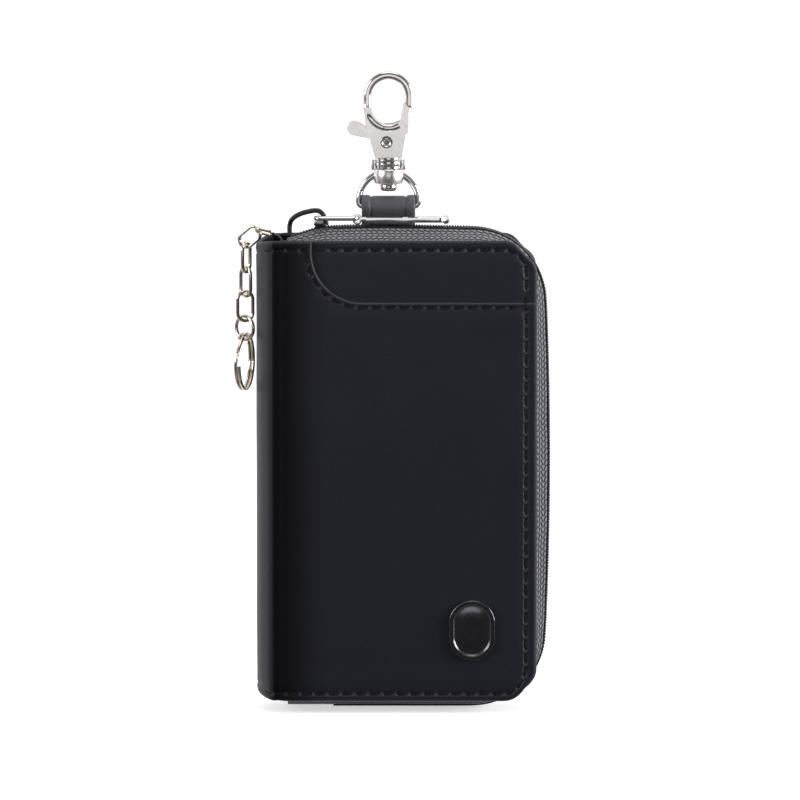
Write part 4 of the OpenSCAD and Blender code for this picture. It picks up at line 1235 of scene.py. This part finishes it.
def makeHookBody():
    bm = bmesh.new()
    makeEye(bm)
    makeSlotRim(bm, -1)
    makeSlotRim(bm, 1)
    makeFlatBody(bm)
    turned(bm, hook["collar"], (0, 0, 0))
    mount(toObject("hookBody", bm, hookNickel, 38, weigh=True), "hook", "hook_nickel", "hook_body")


makeHookBody()

# Profiles are (radius, height over the body's face)
rivet = {
    "x": -0.5,
    "z": -16.5,
    "faceY": 2.0,
    "head": [(0, 0.34), (0.25, 0.3), (0.55, 0.12), (0.85, 0.1), (1.1, 0.22), (1.3, 0.5), (1.5, 0.46),
             (1.6, 0.25), (1.6, -0.1), (0.79, -0.1)],
    "tail": [(0.79, 0), (1.55, 0), (1.5, 0.4), (0.9, 0.56), (0, 0.56)],
}


def makeRivet():
    bm = bmesh.new()
    face = rivet["faceY"]
    profile = [(r, face + h) for r, h in rivet["head"]] + [(r, -face - h) for r, h in rivet["tail"]]
    turned(bm, profile, (rivet["x"], 0, rivet["z"]), "Y")
    mount(toObject("gateRivet", bm, hookNickel, 45), "hook", "hook_nickel", "gate_rivet")


makeRivet()

# Shank and peened head of the swivel pin, as (radius, z)
pinProfile = [(0, -20.7), (1.2, -20.7), (1.5, -21.0), (1.5, -27.35), (1.75, -27.5), (2.15, -27.55),
              (2.32, -27.8), (2.32, -28.7), (2.2, -29.05), (1.9, -29.35), (1.2, -29.45), (0, -29.45)]


def makePin():
    bm = bmesh.new()
    turned(bm, pinProfile, (0, 0, 0))
    mount(toObject("swivelPin", bm, hookNickel, 45), "hook", "hook_nickel", "swivel_pin")


makePin()

ring = {
    "r": 7.8,
    "centreZ": -32.2,
    "corner": 1.2,
    "wire": 0.87,
    "endX": 2.7,                             # the wire starts and ends here, in the barrel's sides
    "bore": 1.56,
    "barrelR": 3.9,
    "barrelTop": -23.55,
    "barrelLow": -27.4,
    "lug": (0.8, 2.7, 2.7),
    "lugX": 4.1,
    "lugRise": 1.05,
    "lugEdge": 0.25,
}


def makeSwivelRing():
    r, c, z = ring["r"], ring["corner"], ring["centreZ"]
    a = math.acos(ring["endX"] / r)
    bm = bmesh.new()
    start = Vector((math.cos(a) * r, 0, z + math.sin(a) * r))
    first = wireSection(bm, start, (math.sin(a), 0, -math.cos(a)), ring["wire"], 20)
    down = (0, 1, 0)
    line = turnRound(bm, list(first), (0, 0, z), down, a, 24)
    line = turnRound(bm, line, (r - c, 0, z), down, math.pi / 2, 8)
    line = runAlong(bm, line, (-2 * (r - c), 0, 0), 6)
    line = turnRound(bm, line, (c - r, 0, z), down, math.pi / 2, 8)
    line = turnRound(bm, line, (0, 0, z), down, a, 24)
    closeEnd(bm, first)
    closeEnd(bm, line)
    mount(toObject("swivelRingWire", bm, ringChrome, 50), "swivel_ring", "ring_chrome", "swivel_ring")
    bm = bmesh.new()
    b, t, f, o = ring["barrelR"], ring["barrelTop"], ring["barrelLow"], ring["bore"]
    turned(bm, [(o, t), (b - 0.35, t), (b - 0.12, t - 0.1), (b, t - 0.4), (b, f + 0.3), (b - 0.1, f + 0.08),
                (b - 0.35, f), (o, f), (o, t)], (0, 0, 0), steps=64)
    for side in (-1, 1):
        lug = bmesh.new()
        place = Matrix.Translation((side * ring["lugX"], 0, t + ring["lugRise"]))
        bmesh.ops.create_cube(lug, size=1, matrix=place @ Matrix.Diagonal((*ring["lug"], 1)))
        bevelEdges(lug, lug.edges[:], ring["lugEdge"], 3)
        addTo(bm, lug)
    mount(toObject("swivelBarrel", bm, barrelBrushed, 45), "swivel_ring", "ring_chrome", "swivel_ring")


makeSwivelRing()
print("stage: hook")


# Centre, axes and size of a packed link, longest first
def linkAxes(node):
    points = numpy.array([v.co[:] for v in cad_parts[node].data.vertices]) / mm
    axes = numpy.linalg.eigh(numpy.cov((points - points.mean(axis=0)).T))[1].T[::-1]
    spans = [((points @ axis).min(), (points @ axis).max()) for axis in axes]
    centre = sum((Vector(axis) * (low + high) / 2 for axis, (low, high) in zip(axes, spans)), Vector())
    sizes = [high - low for low, high in spans]
    return centre, [Vector(axis) for axis in axes], sizes


# Turns a link drawn in the XZ plane to lie along its axes
def linkPlace(centre, long, normal):
    wide = normal.cross(long).normalized()
    return Matrix.Translation(centre) @ Matrix((wide, normal, long)).transposed().to_4x4()


chain = {"fuller": 0.12, "segments": 14}


def wireOval(bm, length, width, wire, place):
    r, s = (width - wire) / 2, (length - width) / 2
    up = (0, -1, 0)
    line = wireSection(bm, (r, 0, -s), (0, 0, 1), wire / 2, chain["segments"])
    if s > 0.01:
        line = runAlong(bm, line, (0, 0, 2 * s), 2)
    line = turnRound(bm, line, (0, 0, s), up, math.pi, 20)
    if s > 0.01:
        line = runAlong(bm, line, (0, 0, -2 * s), 2)
    turnRound(bm, line, (0, 0, -s), up, math.pi, 20)
    bmesh.ops.remove_doubles(bm, verts=bm.verts, dist=0.001)
    bmesh.ops.transform(bm, matrix=place, verts=bm.verts)


def makeLink(name, node, bodyName):
    centre, axes, sizes = linkAxes(node)
    bm = bmesh.new()
    wireOval(bm, sizes[0], sizes[1], sizes[2] + chain["fuller"], linkPlace(centre, axes[0], axes[2]))
    mount(toObject(name, bm, paleGold, 60), bodyName, "chain_gold", node)


for i in (1, 2, 3):
    makeLink(f"chainLink{i}", f"chain_link_{i}", f"chain_link_{i}")
makeLink("chainTopLink", "chain_top_link", "spine")
makeLink("jumpRing", "jump_ring", "jump_ring")

splitRing = {"wire": 0.9, "step": 0.94, "turn": 358, "ramp": 62, "start": -62}


# Two flat turns with a short step between them
def makeSplitRing():
    centre, axes, sizes = linkAxes("split_ring")
    bm = bmesh.new()
    radius = (sizes[0] - splitRing["wire"]) / 2
    first = wireSection(bm, (radius, -splitRing["step"] / 2, 0), (0, 0, 1), splitRing["wire"] / 2)
    ramp, flat = math.radians(splitRing["ramp"]), math.radians(splitRing["turn"] - splitRing["ramp"])
    up = (0, -1, 0)
    line = turnRound(bm, list(first), (0, 0, 0), up, flat, 44)
    line = turnRound(bm, line, (0, 0, 0), up, ramp, 6, (0, splitRing["step"] / 6, 0))
    line = turnRound(bm, line, (0, 0, 0), up, flat, 44)
    closeEnd(bm, first)
    closeEnd(bm, line)
    turn = Matrix.Rotation(math.radians(splitRing["start"]), 4, "Y")
    bmesh.ops.transform(bm, matrix=linkPlace(centre, Vector((0, 0, 1)), axes[2]) @ turn, verts=bm.verts)
    mount(toObject("splitRing", bm, paleGold, 60), "split_ring", "chain_gold", "split_ring")


makeSplitRing()

# Last link and a thin strap that hold the chain to the spine's inside
anchor = {
    "link": (5.4, 3.3, 0.8),
    "reach": 1.85,
    "lean": 14,
    "roll": 62,
    "strap": [(-31.1, -40.2), (-29.6, -39.9), (-28.1, -40.7), (-27.5, -42.4), (-27.4, -49.0)],
    "strapWide": 0.75,
    "strapThick": 0.5,
}


def makeAnchor():
    centre, axes, sizes = linkAxes("chain_top_link")
    long = axes[0] if axes[0].x > 0 else -axes[0]
    eye = centre + long * (sizes[0] / 2 - sizes[2])
    lean = math.radians(anchor["lean"])
    way = Vector((math.cos(lean), 0, -math.sin(lean)))
    normal = Matrix.Rotation(math.radians(anchor["roll"]), 3, way) @ Vector((0, 1, 0))
    bm = bmesh.new()
    wireOval(bm, *anchor["link"], linkPlace(eye + way * anchor["reach"], way, normal))
    mount(toObject("chainAnchorLink", bm, paleGold, 60), "spine", "chain_gold", "chain_anchor")
    line = softCurve(anchor["strap"], 3)
    bm = bmesh.new()
    size = Matrix.Diagonal((anchor["strapWide"], anchor["strapThick"], 1, 1))
    bmesh.ops.create_circle(bm, cap_ends=False, segments=12, radius=0.5, matrix=size)
    first = bm.edges[:]
    last = runAlong(bm, list(first), (0, 0, lengthsAlong(line)[-1]), 40)
    closeEnd(bm, first)
    closeEnd(bm, last)
    followPath(bm, line, "XZ")
    bmesh.ops.translate(bm, verts=bm.verts, vec=(0, body["midY"], 0))
    mount(toObject("chainAnchorStrap", bm, tabLeather, 60), "spine", "leather", "chain_anchor")


makeAnchor()
print("stage: chain")


# Zip slider with its bail
slider = {
    "plate": [(-19.4, 3.2), (-18.9, 3.7), (-17.3, 3.7), (-15.9, 2.9), (-15.6, 2.4)],
    "lowZ": nodeBox("slider_body")[1].z - 0.8,
    "thick": 0.55,
    "lip": (2.8, 0.6, 0.9),                  # the side lips that hold the teeth
    "lipAt": (-17.7, 3.35, 0.2),             # their x, y from the middle and depth
    "edge": 0.2,
    "arch": [(-25.75, -39.6), (-25.75, -37.4), (-25.2, -35.9), (-23.2, -34.6), (-20.9, -33.95), (-18.6, -33.6),
             (-17.4, -34.2), (-16.6, -35.5), (-16.3, -37.0)],
    "band": 1.2,
    "bandWide": 2.4,
    "bandEdge": 0.35,
    "footWide": 0.7,                         # the front foot narrows to this between the two heights
    "footFade": (-36.2, -37.3),
    "footX": -22,
}


def makeSlider():
    bm = bmesh.new()
    points = slider["plate"] + [(x, -y) for x, y in slider["plate"][::-1]]
    bm.faces.new([bm.verts.new((x, body["midY"] + y, slider["lowZ"])) for x, y in points])
    thicken(bm, (0, 0, slider["thick"]))
    x, y, depth = slider["lipAt"]
    for side in (-1, 1):
        lip = bmesh.new()
        place = Matrix.Translation((x, body["midY"] + side * y, slider["lowZ"] - depth))
        bmesh.ops.create_cube(lip, size=1, matrix=place @ Matrix.Diagonal((*slider["lip"], 1)))
        addTo(bm, lip)
    bevelEdges(bm, sharpEdges(bm, 35), slider["edge"], 3)
    mount(toObject("sliderBody", bm, sliderBlack, 40, weigh=True), "zip_slider", "gunmetal", "slider_body")


def makeBail():
    line = softCurve(slider["arch"], 3)
    bm = bmesh.new()
    size = Matrix.Diagonal((slider["bandWide"], slider["band"], 1, 1))
    bmesh.ops.create_grid(bm, x_segments=1, y_segments=1, size=0.5, matrix=size)
    bevelVerts(bm, bm.verts[:], slider["bandEdge"], 3)
    first = [e for e in bm.edges if e.is_boundary]
    closeEnd(bm, runAlong(bm, list(first), (0, 0, lengthsAlong(line)[-1]), 48))
    followPath(bm, line, "XZ")
    for v in bm.verts:
        share = smoothStep(*slider["footFade"], v.co.z) if v.co.x < slider["footX"] else 0.0
        v.co.y = body["midY"] + v.co.y * (1 + (slider["footWide"] / slider["bandWide"] - 1) * share)
    bmesh.ops.recalc_face_normals(bm, faces=bm.faces)
    mount(toObject("sliderBail", bm, gunMetal, 60), "zip_slider", "gunmetal", "slider_bail")


makeSlider()
makeBail()


# Wire frame with round corners, their radius the wire's thickness
def makePullLink():
    low, high = nodeBox("pull_link")
    wire = high.z - low.z
    middle = (low + high) / 2
    x, y = (high.x - low.x - wire) / 2 - wire, (high.y - low.y - wire) / 2 - wire
    bm = bmesh.new()
    line = wireSection(bm, middle + Vector((-x, -y - wire, 0)), (1, 0, 0), wire / 2)
    for sideX, sideY, run in ((1, -1, (2 * x, 0, 0)), (1, 1, (0, 2 * y, 0)), (-1, 1, (-2 * x, 0, 0)),
                              (-1, -1, (0, -2 * y, 0))):
        line = runAlong(bm, line, run, 4)
        line = turnRound(bm, line, middle + Vector((sideX * x, sideY * y, 0)), (0, 0, 1), math.pi / 2, 8)
    mount(toObject("pullLink", bm, ringChrome, 60), "pull_link", "ring_chrome", "pull_link")


makePullLink()

pullPlate = {"thicker": 1.15, "lower": 0.4, "bevel": 0.3}


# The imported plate, a little fuller and hanging lower
def makePullPlate():
    bm = cadCopy("pull_plate")
    low, high = nodeBox("pull_plate")
    middle = (low.z + high.z) / 2
    for v in bm.verts:
        v.co.z = middle + (v.co.z - middle) * pullPlate["thicker"] - pullPlate["lower"]
    bevelEdges(bm, sharpEdges(bm, 38), pullPlate["bevel"], 4)
    mount(toObject("pullPlate", bm, ringChrome, 38), "pull_plate", "ring_chrome", "pull_plate")


makePullPlate()

# Plain pill with a raised rim and a low dome
badge = {
    "segments": 72,
    "edge": 0.22,
    "steps": [                               # (inset, sink)
        (1.15, 0.0), (0.3, 0.45), (0.8, -0.2), (1.0, -0.13), (1.0, -0.08), (0.7, -0.03),
    ],
}


def makeBadge():
    low, high = nodeBox("badge")
    middle = (low + high) / 2
    bm = bmesh.new()
    count = badge["segments"]
    place = Matrix.Rotation(math.pi / 2, 4, "X") @ Matrix.Rotation(math.pi / count, 4, "Z")
    bmesh.ops.create_circle(bm, cap_ends=True, segments=count, radius=(high.x - low.x) / 2, matrix=place)
    straight = (high.z - low.z - high.x + low.x) / 2
    for v in bm.verts:
        v.co.z += math.copysign(straight, v.co.z)
    face = bm.faces[:]
    for wide, sink in badge["steps"]:
        bmesh.ops.inset_region(bm, faces=face, thickness=wide, use_boundary=True, use_even_offset=True)
        bmesh.ops.translate(bm, verts=list({v for f in face for v in f.verts}), vec=(0, sink, 0))
    outer = [e for e in bm.edges if e.is_boundary]
    closeEnd(bm, runAlong(bm, outer, (0, high.y - low.y, 0), 1))
    bmesh.ops.recalc_face_normals(bm, faces=bm.faces)
    bevelEdges(bm, sharpEdges(bm, 50), badge["edge"], 4)
    bmesh.ops.translate(bm, verts=bm.verts, vec=(middle.x, low.y, middle.z))
    mount(toObject("badgePill", bm, blackNickel, 40, weigh=True), "front_cover", "badge_nickel", "badge")


makeBadge()
print("stage: pull and badge")

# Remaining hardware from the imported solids, with rounded edges
for node, bodyName, slotName, material, bevel in (
    ("gate_lever", "gate", "hook_nickel", hookNickel, 0.3),
    ("gate_spring", "hook", "steel", railSteel, 0),
    ("zip_stop", "case_back", "gunmetal", gunMetal, 0.1),
    ("key_rail", "case_back", "steel", railSteel, 0.1),
    ("rail_rod", "case_back", "steel", railSteel, 0.1),
    ("rail_rivets", "case_back", "steel", railSteel, 0.15),
):
    dressCad(node, bodyName, slotName, material, bevel, 3)
for i in range(1, 7):
    dressCad(f"key_hook_{i}", f"key_hook_{i}", "steel", railSteel, 0.1)
for node in ("inner_pocket_tall", "inner_pocket_short"):
    dressCad(node, "front_cover", "leather", innerLeather, 0.25, 3)
print("stage: hardware")


# Floor, background and lights
studio = {
    "floorZ": cadLow.z - 0.4 * mm,
    "size": 6.0,
    "floorWhite": 0.8,
    "floorGlow": 0.55,
    "front": 0.06,
    "side": 0.5,
    "flag": 0.02,                            # black cards beside the table, seen only in the metal
    "behind": 1.0,
    "lights": [                              # name, place, aim, size, power and height
        ("leftWindow", (-0.8, -0.55, 0.25), (0, 0, -0.09), 0.5, 5, 0.5),
        ("topSoft", (0.05, -0.15, 0.95), (0, 0, -0.1), 0.7, 3.4, 0.7),
        ("rightWindow", (0.9, -0.3, 0.1), (0.02, 0, -0.09), 0.5, 10, 0.5),
        ("hookCard", (0, -0.5, -0.01), (0, 0, -0.01), 0.25, 0.12, 0.15),
    ],
}


def makeFloor():
    bm = bmesh.new()
    bmesh.ops.create_grid(bm, x_segments=1, y_segments=1, size=studio["size"])
    bmesh.ops.translate(bm, verts=bm.verts, vec=(0, 0, studio["floorZ"]))
    mesh = bpy.data.meshes.new("floor")
    bm.to_mesh(mesh)
    bm.free()
    floor = bpy.data.objects.new("floor", mesh)
    bpy.context.scene.collection.objects.link(floor)
    material, tree, shader = newMaterial("floor paper", Roughness=0.9, Emission_Strength=studio["floorGlow"])
    shader.inputs["Base Color"].default_value = (studio["floorWhite"],) * 3 + (1,)
    shader.inputs["Emission Color"].default_value = (1, 1, 1, 1)
    mesh.materials.append(material)
    floor.visible_glossy = False             # the case reflects the dark side of the studio instead
    floor.visible_diffuse = False


# Dark in front, bright beside and behind, with the black cards between
def makeBackground():
    world = bpy.data.worlds.new("studio")
    bpy.context.scene.world = world
    world.use_nodes = True
    tree = world.node_tree
    way = addNode(tree, "SeparateXYZ", {"Vector": addNode(tree, "TexCoord").outputs["Generated"]})
    level = ramp(tree, fade(tree, way.outputs["Y"], -1.0, 1.0), [
        (0.0, studio["front"]), (0.3, studio["side"]), (0.4, studio["flag"]), (0.52, studio["flag"]),
        (0.62, studio["behind"])])
    tree.links.new(level, tree.nodes["Background"].inputs["Color"])


def areaLight(name, place, aim, size, power, sizeY):
    data = bpy.data.lights.new(name, "AREA")
    data.energy = power
    data.shape = "RECTANGLE"
    data.size = size
    data.size_y = sizeY
    light = bpy.data.objects.new(name, data)
    bpy.context.scene.collection.objects.link(light)
    light.location = place
    light.rotation_euler = (Vector(aim) - Vector(place)).to_track_quat("-Z", "Y").to_euler()


makeFloor()
makeBackground()
for light in studio["lights"]:
    areaLight(*light)
print("stage: studio")
